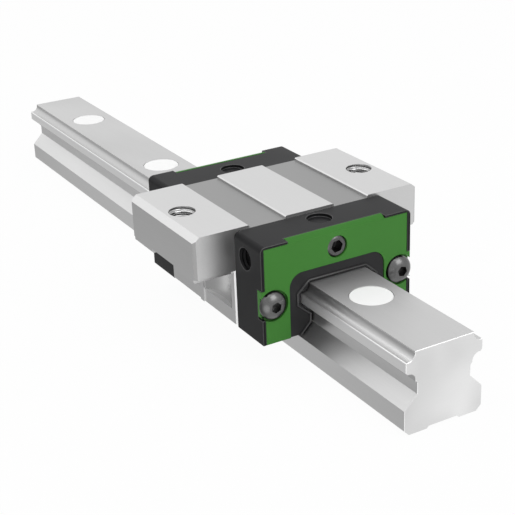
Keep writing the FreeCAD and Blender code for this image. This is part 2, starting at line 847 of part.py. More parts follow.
def cut_ports(body, face):
    """The lubrication port behind the cover, and one in each side."""
    port = new_sketch(body, "XZ_Plane", "front_port", face)
    add_circle(port, 0.0, size("PortPlugHeight"), size("PortThread"))
    pocket(body, port, size("PortPlugLength"))
    side = half("EndPieceWidth")
    for hand in (-1, 1):
        side_port = new_sketch(body, "YZ_Plane", f"side_port_{hand + 2}", side * hand)
        add_circle(side_port, -SADDLE_END - size("PortFromSaddle"), size("PortHeight"),
                   size("PortThread"))
        pocket(body, side_port, size("PortDepth"), backwards=(hand < 0))


def guide_plate_rectangle(sketch, hand, clearance):
    clearance = measure(clearance)
    inner = size("GuidePlateInner") - clearance
    outer = size("GuidePlateOuter") + clearance
    low_x, high_x = (inner, outer) if hand > 0 else (-outer, -inner)
    add_rectangle(sketch, low_x, size("GuidePlateBottom") - clearance,
                  high_x, size("GuidePlateTop") + clearance)


def make_ball_guide(label, hand, rear):
    """Inner half of both turns on one side: two half spools on a common plate."""
    body = new_body(label)
    plate = new_sketch(body, "XZ_Plane", "plate", SADDLE_END)
    guide_plate_rectangle(plate, hand, 0.0)
    pad(body, plate, size("GuidePlateThickness"))
    width = PASSAGE_RADIUS - size("GuideClearance")
    for circuit in CIRCUITS:
        _, radius, _ = turn_frame(circuit)
        spool = new_sketch(body, "XZ_Plane", f"{circuit}_spool", SADDLE_END)
        add_outline(spool, [
            turn_point(circuit, hand, measure(0.0), -width),
            turn_point(circuit, hand, radius, -width),
            turn_point(circuit, hand, radius, width),
            turn_point(circuit, hand, measure(0.0), width),
        ])
        add_turn_axis(spool, circuit, hand, width)
        turned_half(body, spool, "PartDesign::Revolution", f"{circuit}_half_spool",
                    backwards=(hand > 0))
    for circuit in CIRCUITS:
        passage = new_sketch(body, "XZ_Plane", f"{circuit}_passage", SADDLE_END)
        add_outline(passage, passage_corners(circuit, hand, inwards=True, outwards=True))
        add_turn_axis(passage, circuit, hand, width)
        turned_half(body, passage, "PartDesign::Groove", f"{circuit}_passage_cut",
                    backwards=(hand > 0))
    on_carriage(body, rear)
    return body


# Cover plates and wiper seals

def make_cover_plate(label, rear):
    body = new_body(label)
    face = SADDLE_END + size("EndPieceDepth") - size("CoverSetBack")
    bottom = size("EndPieceBottom")
    plate = new_sketch(body, "XZ_Plane", "plate", face)
    opening = arch_outline(half("CoverOpeningWidth"), size("CoverOpeningTop"),
                           size("CoverOpeningRadius"), bottom)
    add_outline(plate, straddle(cover_face_outline(0.0), opening))
    pad(body, plate, size("CoverThickness"), backwards=True)
    tab = new_sketch(body, "YZ_Plane", "top_tab")
    upper = size("EndPieceTop")
    add_outline(tab, [
        (-face, size("CoverTop")),
        (-face, upper - size("TabThickness")),
        (size("TopTabDepth") - face, upper - size("TabThickness")),
        (size("TopTabDepth") - face, upper),
    ])
    pad(body, tab, size("TopTabWidth"), symmetric=True)
    sides = new_sketch(body, "XZ_Plane", "side_tabs", face)
    edge = half("EndPieceWidth")
    inner = edge - size("TabThickness")
    add_rectangle(sides, inner, size("SideTabBottom"), edge, size("SideTabTop"))
    add_rectangle(sides, -edge, size("SideTabBottom"), -inner, size("SideTabTop"))
    pad(body, sides, size("SideTabDepth"), backwards=True)
    seats = new_sketch(body, "XZ_Plane", "head_seats", face)
    holes = new_sketch(body, "XZ_Plane", "screw_holes", face)
    for hand in (-1, 1):
        place = (half("ScrewSpacing") * hand, size("ScrewHeight"))
        add_circle(seats, *place, size("HeadSeatDiameter"))
        add_circle(holes, *place, size("ScrewDiameter") + size("ScrewClearance") * 2)
    pocket(body, seats, size("HeadSeatDepth"))
    pocket(body, holes)
    port = new_sketch(body, "XZ_Plane", "port_hole", face)
    add_circle(port, 0.0, size("PortPlugHeight"),
               size("PortThread") + size("PortHoleClearance") * 2)
    pocket(body, port)
    on_carriage(body, rear)
    return body


def make_wiper_seal(label, rear):
    """Moulded seal in the opening of the cover plate, with a raised lip round the rail."""
    body = new_body(label)
    back = SADDLE_END + size("EndPieceDepth") - size("CoverSetBack") - size("CoverThickness")
    bottom, clearance = size("EndPieceBottom"), size("SealClearance")
    disc = new_sketch(body, "XZ_Plane", "disc", back)
    outside = arch_outline(half("CoverOpeningWidth") - clearance,
                           size("CoverOpeningTop") - clearance,
                           size("CoverOpeningRadius") - clearance, bottom)
    gap = size("SealRailGap")
    add_outline(disc, straddle(outside, rail_gap_outline(gap, bottom)))
    pad(body, disc, size("SealThickness"))
    lip = new_sketch(body, "XZ_Plane", "lip", back)
    outer = rail_gap_outline(gap + size("SealRidgeWidth"), bottom)
    add_outline(lip, straddle(outer, rail_gap_outline(gap, bottom)))
    pad(body, lip, size("SealThickness") + size("SealRidgeHeight"))
    on_carriage(body, rear)
    return body


# Screws and port plugs

HEAD_RIM_SHARE = 0.3
HEAD_SHOULDER_SHARE = 0.78


def make_cover_screws(label, rear):
    """Two button-head socket screws that hold an end piece and its cover to the saddle."""
    form = new_body(f"{label}_form")
    shank = half("ScrewDiameter") - size("ScrewFit")
    head, height = half("HeadDiameter"), size("HeadHeight")
    crown = half("HeadCrownDiameter")
    section = new_sketch(form, "XZ_Plane", "section")
    add_outline(section, [
        (0.0, -size("ScrewLength")),
        (shank - size("ScrewTipBevel"), -size("ScrewLength")),
        (shank, -size("ScrewLength") + size("ScrewTipBevel")),
        (shank, 0.0),
        (head, 0.0),
        (head, height * HEAD_RIM_SHARE),
        ((head + crown) / 2, height * HEAD_SHOULDER_SHARE),
        (crown, height),
        (0.0, height),
    ])
    turn = form.newObject("PartDesign::Revolution", f"{label}_turn")
    turn.Profile = section
    turn.ReferenceAxis = (section, ["V_Axis"])
    turn.Angle = 360.0
    hexagon = new_sketch(form, "XY_Plane", "socket", height)
    add_hexagon(hexagon, 0.0, 0.0, size("HeadSocket"))
    pocket(form, hexagon, size("HeadSocketDepth"))
    seat = (SADDLE_END + size("EndPieceDepth") - size("CoverSetBack")
            - size("HeadSeatDepth"))
    copies = []
    for hand in (-1, 1):
        across = half("ScrewSpacing") * hand
        copies.append(lying_copy(form, f"{label}_{hand + 2}", across, seat,
                                 size("ScrewHeight"), rear))
    return group(label, copies)


def lying_copy(form, name, across, outward, height, rear):
    """A copy of an upright piece laid along the rail, its top facing away from the saddle."""
    sign = 1.0 if rear else -1.0
    place = (across, size("CarriageRest") + outward * sign, height)
    copy = linked_copy(form, name, place)
    lay = FreeCAD.Rotation(FreeCAD.Vector(1, 0, 0), -90.0 if rear else 90.0)
    copy.Placement = FreeCAD.Placement(copy.Placement.Base, lay)
    return copy


def make_port_plug(label, rear):
    """Hexagon-socket set screw that closes the lubrication port in the middle."""
    body = new_body(label)
    radius = half("PortThread") - size("ScrewFit")
    bevel, proud = size("PortPlugBevel"), size("PortPlugProud")
    face = SADDLE_END + size("EndPieceDepth") - size("CoverSetBack") + proud
    length = size("PortPlugLength") + size("CoverThickness") + proud
    height = size("PortPlugHeight")
    stud = new_sketch(body, "XZ_Plane", "stud", face)
    add_circle(stud, 0.0, height, radius * 2)
    stud_pad = pad(body, stud, length, backwards=True)
    chamfer_edges(body, stud_pad, "bevel", lambda edge: edge.Closed, bevel)
    hexagon = new_sketch(body, "XZ_Plane", "socket", face)
    add_hexagon(hexagon, 0.0, height, size("PortPlugSocket"))
    pocket(body, hexagon, size("PortPlugSocketDepth"))
    on_carriage(body, rear)
    return body


# Return tubes, balls, cages and leg seals

def make_return_tube(label, circuit, hand):
    body = new_body(label)
    _, back = CIRCUITS[circuit]
    ring = new_sketch(body, "XZ_Plane", "ring")
    add_circle(ring, back[0] * hand, back[1], PASSAGE_RADIUS * 2)
    add_circle(ring, back[0] * hand, back[1], (PASSAGE_RADIUS + size("TubeWall")) * 2)
    pad(body, ring, size("SaddleLength"), symmetric=True)
    on_carriage(body)
    return body


def faceted_ball(radius):
    """A ball drawn with flats, three rings of eight corners between its two poles, because
    a hundred true spheres would weigh the model down. All corners lie on the sphere."""
    rings = []
    for latitude in (-45.0, 0.0, 45.0):
        level, reach = math.sin(math.radians(latitude)), math.cos(math.radians(latitude))
        rings.append([FreeCAD.Vector(radius * reach * math.cos(turn * math.pi / 4),
                                     radius * reach * math.sin(turn * math.pi / 4),
                                     radius * level) for turn in range(8)])
    south, north = FreeCAD.Vector(0, 0, -radius), FreeCAD.Vector(0, 0, radius)
    flats = []
    for turn in range(8):
        after = (turn + 1) % 8
        flats.append([south, rings[0][after], rings[0][turn]])
        flats.append([north, rings[2][turn], rings[2][after]])
        for low, high in ((rings[0], rings[1]), (rings[1], rings[2])):
            flats.append([low[turn], low[after], high[after], high[turn]])
    faces = [Part.Face(Part.makePolygon(flat + flat[:1])) for flat in flats]
    return Part.makeSolid(Part.makeShell(faces))


def circuit_points(circuit, hand):
    """Ball centres, evenly spaced along the row, round one turn, back, and round the other."""
    row, back = [[part.value for part in point] for point in CIRCUITS[circuit]]
    end = SADDLE_END.value
    middle = [(row[0] + back[0]) / 2, (row[1] + back[1]) / 2]
    arm = [(back[0] - row[0]) / 2, (back[1] - row[1]) / 2]
    radius = math.hypot(*arm)
    straight, bend = 2 * end, math.pi * radius
    loop = 2 * (straight + bend)
    count = int(loop / (size("BallDiameter") + size("BallGap")).value)
    points = []
    for number in range(count):
        walked = (number + 0.5) * loop / count
        if walked < straight:
            x, y, z = row[0], walked - end, row[1]
        elif walked < straight + bend:
            turn = (walked - straight) / radius
            x = middle[0] - arm[0] * math.cos(turn)
            y = end + radius * math.sin(turn)
            z = middle[1] - arm[1] * math.cos(turn)
        elif walked < 2 * straight + bend:
            x, y, z = back[0], end - (walked - straight - bend), back[1]
        else:
            turn = (walked - 2 * straight - bend) / radius
            x = middle[0] + arm[0] * math.cos(turn)
            y = -end - radius * math.sin(turn)
            z = middle[1] + arm[1] * math.cos(turn)
        points.append(FreeCAD.Vector(x * hand, y, z))
    return points


def make_ball_circuit(label, circuit, hand):
    ball = faceted_ball(BALL_RADIUS.value)
    balls = doc.addObject("Part::Feature", label)
    balls.Label = label
    balls.Shape = Part.makeCompound([ball.translated(point)
                                     for point in circuit_points(circuit, hand)])
    on_carriage(balls)
    return balls


CAGE_BEVEL_SHARE = 0.4


def make_side_cage(label, hand):
    """Plastic strip between the two rows of one side, which keeps the balls in."""
    body = new_body(label)
    inner = half("EarWidth") + size("CageRailGap")
    outer = half("EarWidth") + size("CageSlotDepth")
    top, bottom = size("CageTop"), size("CageBottom")
    soft = (outer - inner) * CAGE_BEVEL_SHARE
    strip = new_sketch(body, "XZ_Plane", "strip")
    corners = [
        (inner, bottom + soft),
        (inner + soft, bottom),
        (outer, bottom),
        (outer, top),
        (inner + soft, top),
        (inner, top - soft),
    ]
    add_outline(strip, [(x * hand, z) for x, z in corners])
    pad(body, strip, size("SaddleLength"), symmetric=True)
    on_carriage(body)
    return body


def make_top_cage(label):
    """Plastic strip over the rail between the two upper rows, held in the saddle's crown."""
    body = new_body(label)
    width, under = half("TopCageWidth"), size("TopCageUnderside")
    lip = width + size("TopCageLip")
    strip = new_sketch(body, "XZ_Plane", "strip")
    add_outline(strip, mirrored([
        (width, size("CrownHeight")),
        (width, size("UpperSeatTop") - size("TopCageClearance")),
        (lip, under + size("TopCageLipHeight")),
        (lip, under),
    ]))
    pad(body, strip, size("SaddleLength"), symmetric=True)
    on_carriage(body)
    return body


def make_leg_seal(label, hand):
    """Flat seal under one leg of the saddle, close to the slope of the rail's base."""
    body = new_body(label)
    inner, outer = size("LegSealInner"), size("LegSealOuter")
    top = size("SkirtBottom")
    under = top - size("LegSealThickness")
    strip = new_sketch(body, "XZ_Plane", "strip")
    low_x, high_x = (inner, outer) if hand > 0 else (-outer, -inner)
    add_rectangle(strip, low_x, under, high_x, top)
    pad(body, strip, size("SaddleLength"), symmetric=True)
    on_carriage(body)
    return body


parts = [make_rail(), make_rail_plugs()]
saddle = make_saddle()
on_carriage(saddle)
parts.append(saddle)
for end_name, is_rear in (("front", False), ("rear", True)):
    parts.append(make_end_piece(f"{end_name}_end_piece", is_rear))
    parts.append(make_cover_plate(f"{end_name}_cover_plate", is_rear))
    parts.append(make_wiper_seal(f"{end_name}_wiper_seal", is_rear))
    parts.append(make_cover_screws(f"{end_name}_cover_screws", is_rear))
    parts.append(make_port_plug(f"{end_name}_port_plug", is_rear))
    for side_name, hand in (("left", -1), ("right", 1)):
        drawn_hand = -hand if is_rear else hand
        parts.append(make_ball_guide(f"{end_name}_{side_name}_ball_guide", drawn_hand, is_rear))
for side_name, hand in (("left", -1), ("right", 1)):
    for circuit in CIRCUITS:
        parts.append(make_return_tube(f"{circuit}_{side_name}_return_tube", circuit, hand))
        parts.append(make_ball_circuit(f"{circuit}_{side_name}_balls", circuit, hand))
    parts.append(make_side_cage(f"{side_name}_ball_cage", hand))
    parts.append(make_leg_seal(f"{side_name}_leg_seal", hand))
parts.append(make_top_cage("top_ball_cage"))
doc.recompute()

for thing in doc.Objects:
    if "Invalid" in thing.State or "Error" in thing.State:
        raise RuntimeError(f"{thing.Label} did not compute: {thing.State}")
for part in parts:
    if part.Shape.isNull() or not part.Shape.isValid():
        raise RuntimeError(f"{part.Label} has no valid shape")

os.makedirs("parts", exist_ok=True)
for part in parts:
    part.Shape.exportStep(f"parts/{part.Label}.step")
    box = part.Shape.BoundBox
    print(f"{part.Label}: {len(part.Shape.Solids)} solids, {part.Shape.Volume:.1f} mm3, "
          f"X {box.XMin:.2f} to {box.XMax:.2f}, Y {box.YMin:.2f} to {box.YMax:.2f}, "
          f"Z {box.ZMin:.2f} to {box.ZMax:.2f}")
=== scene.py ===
import math
import bmesh
import bpy
import numpy as np
from mathutils import Matrix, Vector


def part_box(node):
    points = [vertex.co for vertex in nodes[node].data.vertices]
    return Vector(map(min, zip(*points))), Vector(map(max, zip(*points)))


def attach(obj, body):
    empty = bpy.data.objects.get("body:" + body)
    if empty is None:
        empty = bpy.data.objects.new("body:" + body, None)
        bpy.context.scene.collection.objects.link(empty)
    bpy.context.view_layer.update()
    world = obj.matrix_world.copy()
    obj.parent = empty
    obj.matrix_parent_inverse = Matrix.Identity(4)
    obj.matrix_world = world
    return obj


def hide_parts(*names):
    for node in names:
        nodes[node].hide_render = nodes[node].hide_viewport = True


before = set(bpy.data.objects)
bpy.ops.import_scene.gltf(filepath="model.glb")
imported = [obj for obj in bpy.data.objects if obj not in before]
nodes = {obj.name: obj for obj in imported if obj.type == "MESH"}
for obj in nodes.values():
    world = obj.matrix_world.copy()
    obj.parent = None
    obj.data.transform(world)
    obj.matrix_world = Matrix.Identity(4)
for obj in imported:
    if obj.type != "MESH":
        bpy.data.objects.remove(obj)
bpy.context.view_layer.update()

mm = 0.001
past = 1.0  # how far a cutter reaches past the face it opens
carriageMiddle = (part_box("saddle")[0].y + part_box("saddle")[1].y) / 2 / mm  # where the carriage stands
print("frame loaded, carriage at", round(carriageMiddle, 2))


# outlines, all in millimetres, as arrays of points in a plane

def arcPoints(centre, start, end, clockwise, steps=14):
    # points on the circle from start to end: centre + radius * (cos, sin) of evenly spaced angles
    cx, cz = centre
    a0 = math.atan2(start[1] - cz, start[0] - cx)
    a1 = math.atan2(end[1] - cz, end[0] - cx)
    if clockwise and a1 > a0:
        a1 -= 2 * math.pi
    if not clockwise and a1 < a0:
        a1 += 2 * math.pi
    angles = np.linspace(a0, a1, steps + 1)
    radius = math.hypot(start[0] - cx, start[1] - cz)
    return np.column_stack([cx + radius * np.cos(angles), cz + radius * np.sin(angles)])


def joined(*runs):
    return np.vstack([np.atleast_2d(np.array(run, float)) for run in runs])


def bothSides(right):
    # a right half from the top down, closed by its mirror image
    return np.vstack([right, right[::-1] * [-1, 1]])


def turnArea(outline):
    x, z = outline[:, 0], outline[:, 1]
    return 0.5 * np.sum(x * np.roll(z, -1) - np.roll(x, -1) * z)


def shifted(outline, distance, sharpest=0.35):
    # each corner moves along the mitre of its two sides, outwards for a positive distance; the
    # divisor is held above sharpest, so that no mitre shoots out of a narrow corner
    turn = 1.0 if turnArea(outline) > 0 else -1.0
    ahead = np.roll(outline, -1, axis=0) - outline
    ahead /= np.linalg.norm(ahead, axis=1)[:, None]
    normal = np.column_stack([ahead[:, 1], -ahead[:, 0]]) * turn
    before = np.roll(normal, 1, axis=0)
    mitre = normal + before
    mitre /= np.maximum(np.sum(mitre * normal, axis=1), sharpest)[:, None]
    return outline + mitre * distance


railSize = {
    "length": 240.0, "height": 22.0, "topHalf": 8.45, "earHalf": 11.25, "earTop": 19.4,
    "earBottom": 16.8, "waistHalf": 7.85, "waistTop": 13.45, "waistBottom": 10.5,
    "baseHalf": 11.5, "baseTop": 6.8, "baseBevel": 1.45, "reliefHalf": 4.8, "reliefDepth": 0.6,
    "endBevel": 0.12, "ballRadius": 1.9845, "ballSink": 0.735, "grooveSlack": 0.08,
    "holePitch": 60.0, "boreRadius": 5.75, "boreDepth": 9.0, "holeRadius": 3.5,
    "crease": 30,
    # how far each finish stays off its neighbours' faces
    "topSkin": 0.1, "brinkHigh": 0.2, "flatWide": 0.45, "flatHigh": 0.15, "earSkin": 0.01,
    "landIn": 0.15, "landOut": 0.05,
}


def ballRow(inner, outer, downwards):
    # the row's centre stands off the middle of the sloped face, along the face's normal
    inner, outer = np.array(inner), np.array(outer)
    along = (outer - inner) / np.linalg.norm(outer - inner)
    away = np.array([-along[1], along[0]]) * (-1 if downwards else 1)
    standOff = railSize["ballRadius"] - railSize["ballSink"]
    radius = railSize["ballRadius"] + railSize["grooveSlack"]
    middle = (inner + outer) / 2
    reach = math.sqrt(radius ** 2 - standOff ** 2)
    return middle + away * standOff, middle - along * reach, middle + along * reach


def railHalf():
    # the upper groove runs out into the top face, the lower one has a narrow flat on both sides
    s = railSize
    top, ear = (s["topHalf"], s["height"]), (s["earHalf"], s["earTop"])
    earLow, waist = (s["earHalf"], s["earBottom"]), (s["waistHalf"], s["waistTop"])
    upper, upperIn, upperOut = ballRow(top, ear, False)
    lower, lowerIn, lowerOut = ballRow(waist, earLow, True)
    radius, b = math.dist(upper, upperIn), s["baseBevel"]
    brink = (upper[0] - math.sqrt(radius ** 2 - (s["height"] - upper[1]) ** 2), s["height"])
    return joined(
        arcPoints(upper, brink, upperOut, False, 12), ear, earLow,
        arcPoints(lower, lowerOut, lowerIn, False, 12), waist, (s["waistHalf"], s["waistBottom"]),
        (s["baseHalf"], s["baseTop"]), (s["baseHalf"], b), (s["baseHalf"] - b, 0.0))


def railOutline():
    s = railSize
    right = joined(railHalf(), (s["reliefHalf"], 0.0),
                   (s["reliefHalf"] - s["reliefDepth"], s["reliefDepth"]))
    return bothSides(right)


# meshes

def pieceFrom(name, verts, faces, body=None, slot=None, stands=(), weld=1e-6):
    # a mesh with its doubled points welded and its normals outwards; a piece that names a body
    # rides on it and stands for the nodes it replaces; the slot is not used
    mesh = bpy.data.meshes.new(name)
    mesh.from_pydata(np.asarray(verts) * mm, [], faces)
    tidy = bmesh.new()
    tidy.from_mesh(mesh)
    bmesh.ops.remove_doubles(tidy, verts=tidy.verts, dist=weld)
    bmesh.ops.recalc_face_normals(tidy, faces=tidy.faces)
    tidy.to_mesh(mesh)
    tidy.free()
    piece = bpy.data.objects.new(name, mesh)
    bpy.context.scene.collection.objects.link(piece)
    if body:
        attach(piece, body)
    if stands:
        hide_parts(*stands)
    return piece


def gridQuads(rows, columns, closed=True, ring=False):
    # corner numbers of every quad between neighbouring rows and columns, as one list;
    # closed joins the last column to the first, ring the last row to the first
    row, column = np.meshgrid(np.arange(rows - (0 if ring else 1)),
                              np.arange(columns - (0 if closed else 1)), indexing="ij")
    after, below = (column + 1) % columns, (row + 1) % rows
    quads = np.stack([row * columns + column, row * columns + after,
                      below * columns + after, below * columns + column], axis=-1)
    return quads.reshape(-1, 4).tolist()


def placed(plane, height, axis):
    # plane points (a, b) at a height along the axis, as points in space
    a, b = plane[:, 0], plane[:, 1]
    h = np.full(len(plane), float(height))
    return np.column_stack({"x": (h, a, b), "y": (a, h, b), "z": (a, b, h)}[axis])


def barShape(outline, low, high, axis="y", bevel=0.0):
    # the outline carried along the axis, with its ends drawn in over the bevel, and two caps
    stations = [(low, 0.0), (high, 0.0)]
    if bevel:
        stations = [(low, -bevel), (low + bevel, 0.0), (high - bevel, 0.0), (high, -bevel)]
    verts = np.vstack([placed(shifted(outline, inset) if inset else outline, at, axis)
                       for at, inset in stations])
    count = len(outline)
    faces = gridQuads(len(stations), count)
    faces += [list(range(count))[::-1], list(range((len(stations) - 1) * count,
                                                   len(stations) * count))]
    return verts, faces


def turnedShape(profile, centre, axis, segments=64, turned=0.0):
    # profile (radius, height) spun round the axis: a grid of angle by profile point
    profile = np.array(profile, float)
    angle = np.arange(segments) * 2 * math.pi / segments + turned
    radius, height = profile[:, :1], profile[:, 1:]
    plane = np.stack([radius * np.cos(angle), radius * np.sin(angle)], axis=-1)
    height = np.repeat(height, segments, axis=1)
    a, b = plane[..., 0], plane[..., 1]
    parts = {"x": (height, a, b), "y": (a, height, b), "z": (a, b, height)}[axis]
    verts = np.stack(parts, axis=-1).reshape(-1, 3) + np.array(centre, float)
    return verts, gridQuads(len(profile), segments)


def discBar(radius, low, high, centre, axis, segments=64, turned=0.0):
    # a closed round bar, low and high counted from the centre along the axis
    return turnedShape([(0, low), (radius, low), (radius, high), (0, high)],
                       centre, axis, segments, turned)


def carve(piece, shapes, how="DIFFERENCE"):
    # takes each shape away from the piece, or adds it, and keeps the result as the piece's mesh
    for verts, faces in shapes:
        tool = pieceFrom("tool", verts, faces)
        cut = piece.modifiers.new("cut", "BOOLEAN")
        cut.operation = how
        cut.solver = "EXACT"
        cut.object = tool
        bpy.context.view_layer.update()
        result = bpy.data.meshes.new_from_object(
            piece.evaluated_get(bpy.context.evaluated_depsgraph_get()))
        piece.modifiers.remove(cut)
        old = piece.data
        piece.data = result
        bpy.data.meshes.remove(old)
        bpy.data.objects.remove(tool)
    return merged(piece)


def merged(piece, crumb=2e-6, bend=0.3):
    # one face where the cuts left several in one plane, up to a slight bend in degrees, and no
    # edges shorter than a crumb
    tidy = bmesh.new()
    tidy.from_mesh(piece.data)
    bmesh.ops.remove_doubles(tidy, verts=tidy.verts, dist=crumb)
    bmesh.ops.dissolve_degenerate(tidy, edges=tidy.edges, dist=crumb)
    bmesh.ops.dissolve_limit(tidy, angle_limit=math.radians(bend), verts=tidy.verts,
                             edges=tidy.edges)
    tidy.to_mesh(piece.data)
    tidy.free()
    return piece


def smoothed(piece, angle):
    # smooth shading, up to edges sharper than the angle
    piece.data.polygons.foreach_set("use_smooth", np.ones(len(piece.data.polygons), bool))
    piece.data.set_sharp_from_angle(angle=math.radians(angle))
    return piece


def softened(piece, width, angle=33.0, finish=-1):
    # every edge sharper than the angle is rounded, with a finish of its own if one is named,
    # and the rest is shaded smooth
    smoothed(piece, angle)
    bevel = piece.modifiers.new("edges", "BEVEL")
    bevel.width = width * mm
    bevel.segments = 2
    bevel.limit_method = "ANGLE"
    bevel.angle_limit = math.radians(angle)
    bevel.harden_normals = True
    bevel.material = finish
    bevel.use_clamp_overlap = False
    return piece


def paint(piece, *materials):
    piece.data.materials.clear()
    for material in materials:
        piece.data.materials.append(material)
    return piece


def faceFacts(piece):
    # normals and middles of all faces as arrays, middles in millimetres
    count = len(piece.data.polygons)
    normals = np.empty(count * 3)
    middles = np.empty(count * 3)
    piece.data.polygons.foreach_get("normal", normals)
    piece.data.polygons.foreach_get("center", middles)
    return normals.reshape(-1, 3), middles.reshape(-1, 3) / mm


# limits for a face normal's part along an axis: 1 for a face square to it, 0 for one along it
facing = {"square": 0.95, "mostly": 0.8, "half": 0.5, "some": 0.3, "little": 0.2, "hardly": 0.1,
          "none": 0.02}


def paintWhere(piece, material, chosen):
    # gives the chosen faces one of the piece's own materials
    current = np.zeros(len(piece.data.polygons), np.int32)
    piece.data.polygons.foreach_get("material_index", current)
    current[chosen] = piece.data.materials.find(material.name)
    piece.data.polygons.foreach_set("material_index", current)


def turnAbout(verts, rear):
    # carriage ends are drawn for the front, in carriage measure, and turned for the rear
    verts = np.array(verts, float)
    if rear:
        verts = verts * [-1, -1, 1]
    return verts + [0, carriageMiddle, 0]


def atEnd(shape, rear):
    return turnAbout(shape[0], rear), shape[1]


# materials

def newMaterial(name):
    material = bpy.data.materials.new(name)
    material.use_nodes = True
    tree = material.node_tree
    shader = tree.nodes["Principled BSDF"]
    coords = tree.nodes.new("ShaderNodeTexCoord")
    return material, tree, shader, coords


def stretchedNoise(tree, coords, stretch, scale, detail):
    # noise on object coordinates, drawn out along an axis by a small scale there
    mapping = tree.nodes.new("ShaderNodeMapping")
    mapping.inputs["Scale"].default_value = stretch
    tree.links.new(coords.outputs["Object"], mapping.inputs["Vector"])
    noise = tree.nodes.new("ShaderNodeTexNoise")
    noise.inputs["Scale"].default_value = scale
    noise.inputs["Detail"].default_value = detail
    tree.links.new(mapping.outputs["Vector"], noise.inputs["Vector"])
    return noise


def ramped(tree, source, low, high, lowAt=0.3, highAt=0.7):
    ramp = tree.nodes.new("ShaderNodeValToRGB")
    ramp.color_ramp.elements[0].position = lowAt
    ramp.color_ramp.elements[1].position = highAt
    ramp.color_ramp.elements[0].color = tuple(low) + (1.0,)
    ramp.color_ramp.elements[1].color = tuple(high) + (1.0,)
    tree.links.new(source, ramp.inputs["Fac"])
    return ramp.outputs["Color"]


def bumped(tree, shader, source, strength, depth):
    bump = tree.nodes.new("ShaderNodeBump")
    bump.inputs["Strength"].default_value = strength
    bump.inputs["Distance"].default_value = depth
    tree.links.new(source, bump.inputs["Height"])
    tree.links.new(bump.outputs["Normal"], shader.inputs["Normal"])


def roughFrom(tree, shader, source, low, high):
    spread = tree.nodes.new("ShaderNodeMapRange")
    spread.inputs["To Min"].default_value = low
    spread.inputs["To Max"].default_value = high
    tree.links.new(source, spread.inputs["Value"])
    tree.links.new(spread.outputs["Result"], shader.inputs["Roughness"])


steelLook = {
    "markScale": 2600.0, "markDetail": 4.0, "markSpan": (0.35, 0.65), "markDepth": 0.00002,
    "cloudStretch": (1.0, 0.35, 1.0), "cloudScale": 45.0, "cloudDetail": 2.0, "roughShare": 0.6,
}


def machinedSteel(name, tone, rough, lay=(1.0, 0.03, 1.0), spread=0.05, grain=0.15, lines=0.95):
    # steel with a fine lay of grinding marks along the rail and soft clouds of tone
    s = steelLook
    material, tree, shader, coords = newMaterial(name)
    marks = stretchedNoise(tree, coords, lay, s["markScale"], s["markDetail"])
    clouds = stretchedNoise(tree, coords, s["cloudStretch"], s["cloudScale"], s["cloudDetail"])
    base = ramped(tree, clouds.outputs["Fac"], (tone * (1 - spread),) * 3,
                  (min(tone * (1 + spread), 1.0),) * 3)
    scored = ramped(tree, marks.outputs["Fac"], (lines,) * 3, (1.0,) * 3, *s["markSpan"])
    mix = tree.nodes.new("ShaderNodeMix")
    mix.data_type = "RGBA"
    mix.blend_type = "MULTIPLY"
    mix.inputs["Factor"].default_value = 1.0
    tree.links.new(base, mix.inputs["A"])
    tree.links.new(scored, mix.inputs["B"])
    tree.links.new(mix.outputs["Result"], shader.inputs["Base Color"])
    if grain:
        change = s["roughShare"] * grain
        roughFrom(tree, shader, marks.outputs["Fac"], rough - change, rough + change)
        bumped(tree, shader, marks.outputs["Fac"], grain, s["markDepth"])
    else:
        shader.inputs["Roughness"].default_value = rough
    shader.inputs["Metallic"].default_value = 1.0
    return material


plasticLook = {"grainScale": 1800.0, "cloudScale": 60.0, "detail": 2.0, "roughSpread": 0.05,
               "grainDepth": 0.00004}


def mouldedPlastic(name, colour, rough, grain=0.12, gloss=0.5, spread=0.08):
    # moulded plastic: an even fine grain, faint clouds of tone and of gloss
    s = plasticLook
    material, tree, shader, coords = newMaterial(name)
    grainNoise = stretchedNoise(tree, coords, (1, 1, 1), s["grainScale"], s["detail"])
    clouds = stretchedNoise(tree, coords, (1, 1, 1), s["cloudScale"], s["detail"])
    base = ramped(tree, clouds.outputs["Fac"], [c * (1 - spread) for c in colour],
                  [min(c * (1 + spread), 1.0) for c in colour])
    tree.links.new(base, shader.inputs["Base Color"])
    roughFrom(tree, shader, clouds.outputs["Fac"], rough - s["roughSpread"],
              rough + s["roughSpread"])
    bumped(tree, shader, grainNoise.outputs["Fac"], grain, s["grainDepth"])
    shader.inputs["Specular IOR Level"].default_value = gloss
    return material


groundLand = machinedSteel("groundLand", 0.68, 0.42, spread=0.01, grain=0.04, lines=0.99)
# a lighter ground steel for the chamfers: a painted highlight, on a slightly smoother grind
groundEdgePaintedHighlight = machinedSteel("groundEdgePaintedHighlight", 0.80, 0.36, spread=0.01, grain=0.04, lines=0.99)
# the channel's milled steel, also laid on the flange's corner chamfers as painted shade
milledChannelAndPaintedShade = machinedSteel("milledChannelAndPaintedShade", 0.34, 0.40, spread=0.02, grain=0.05, lines=0.98)
milledHollow = machinedSteel("milledHollow", 0.70, 0.25, spread=0.01, grain=0.02, lines=0.98)
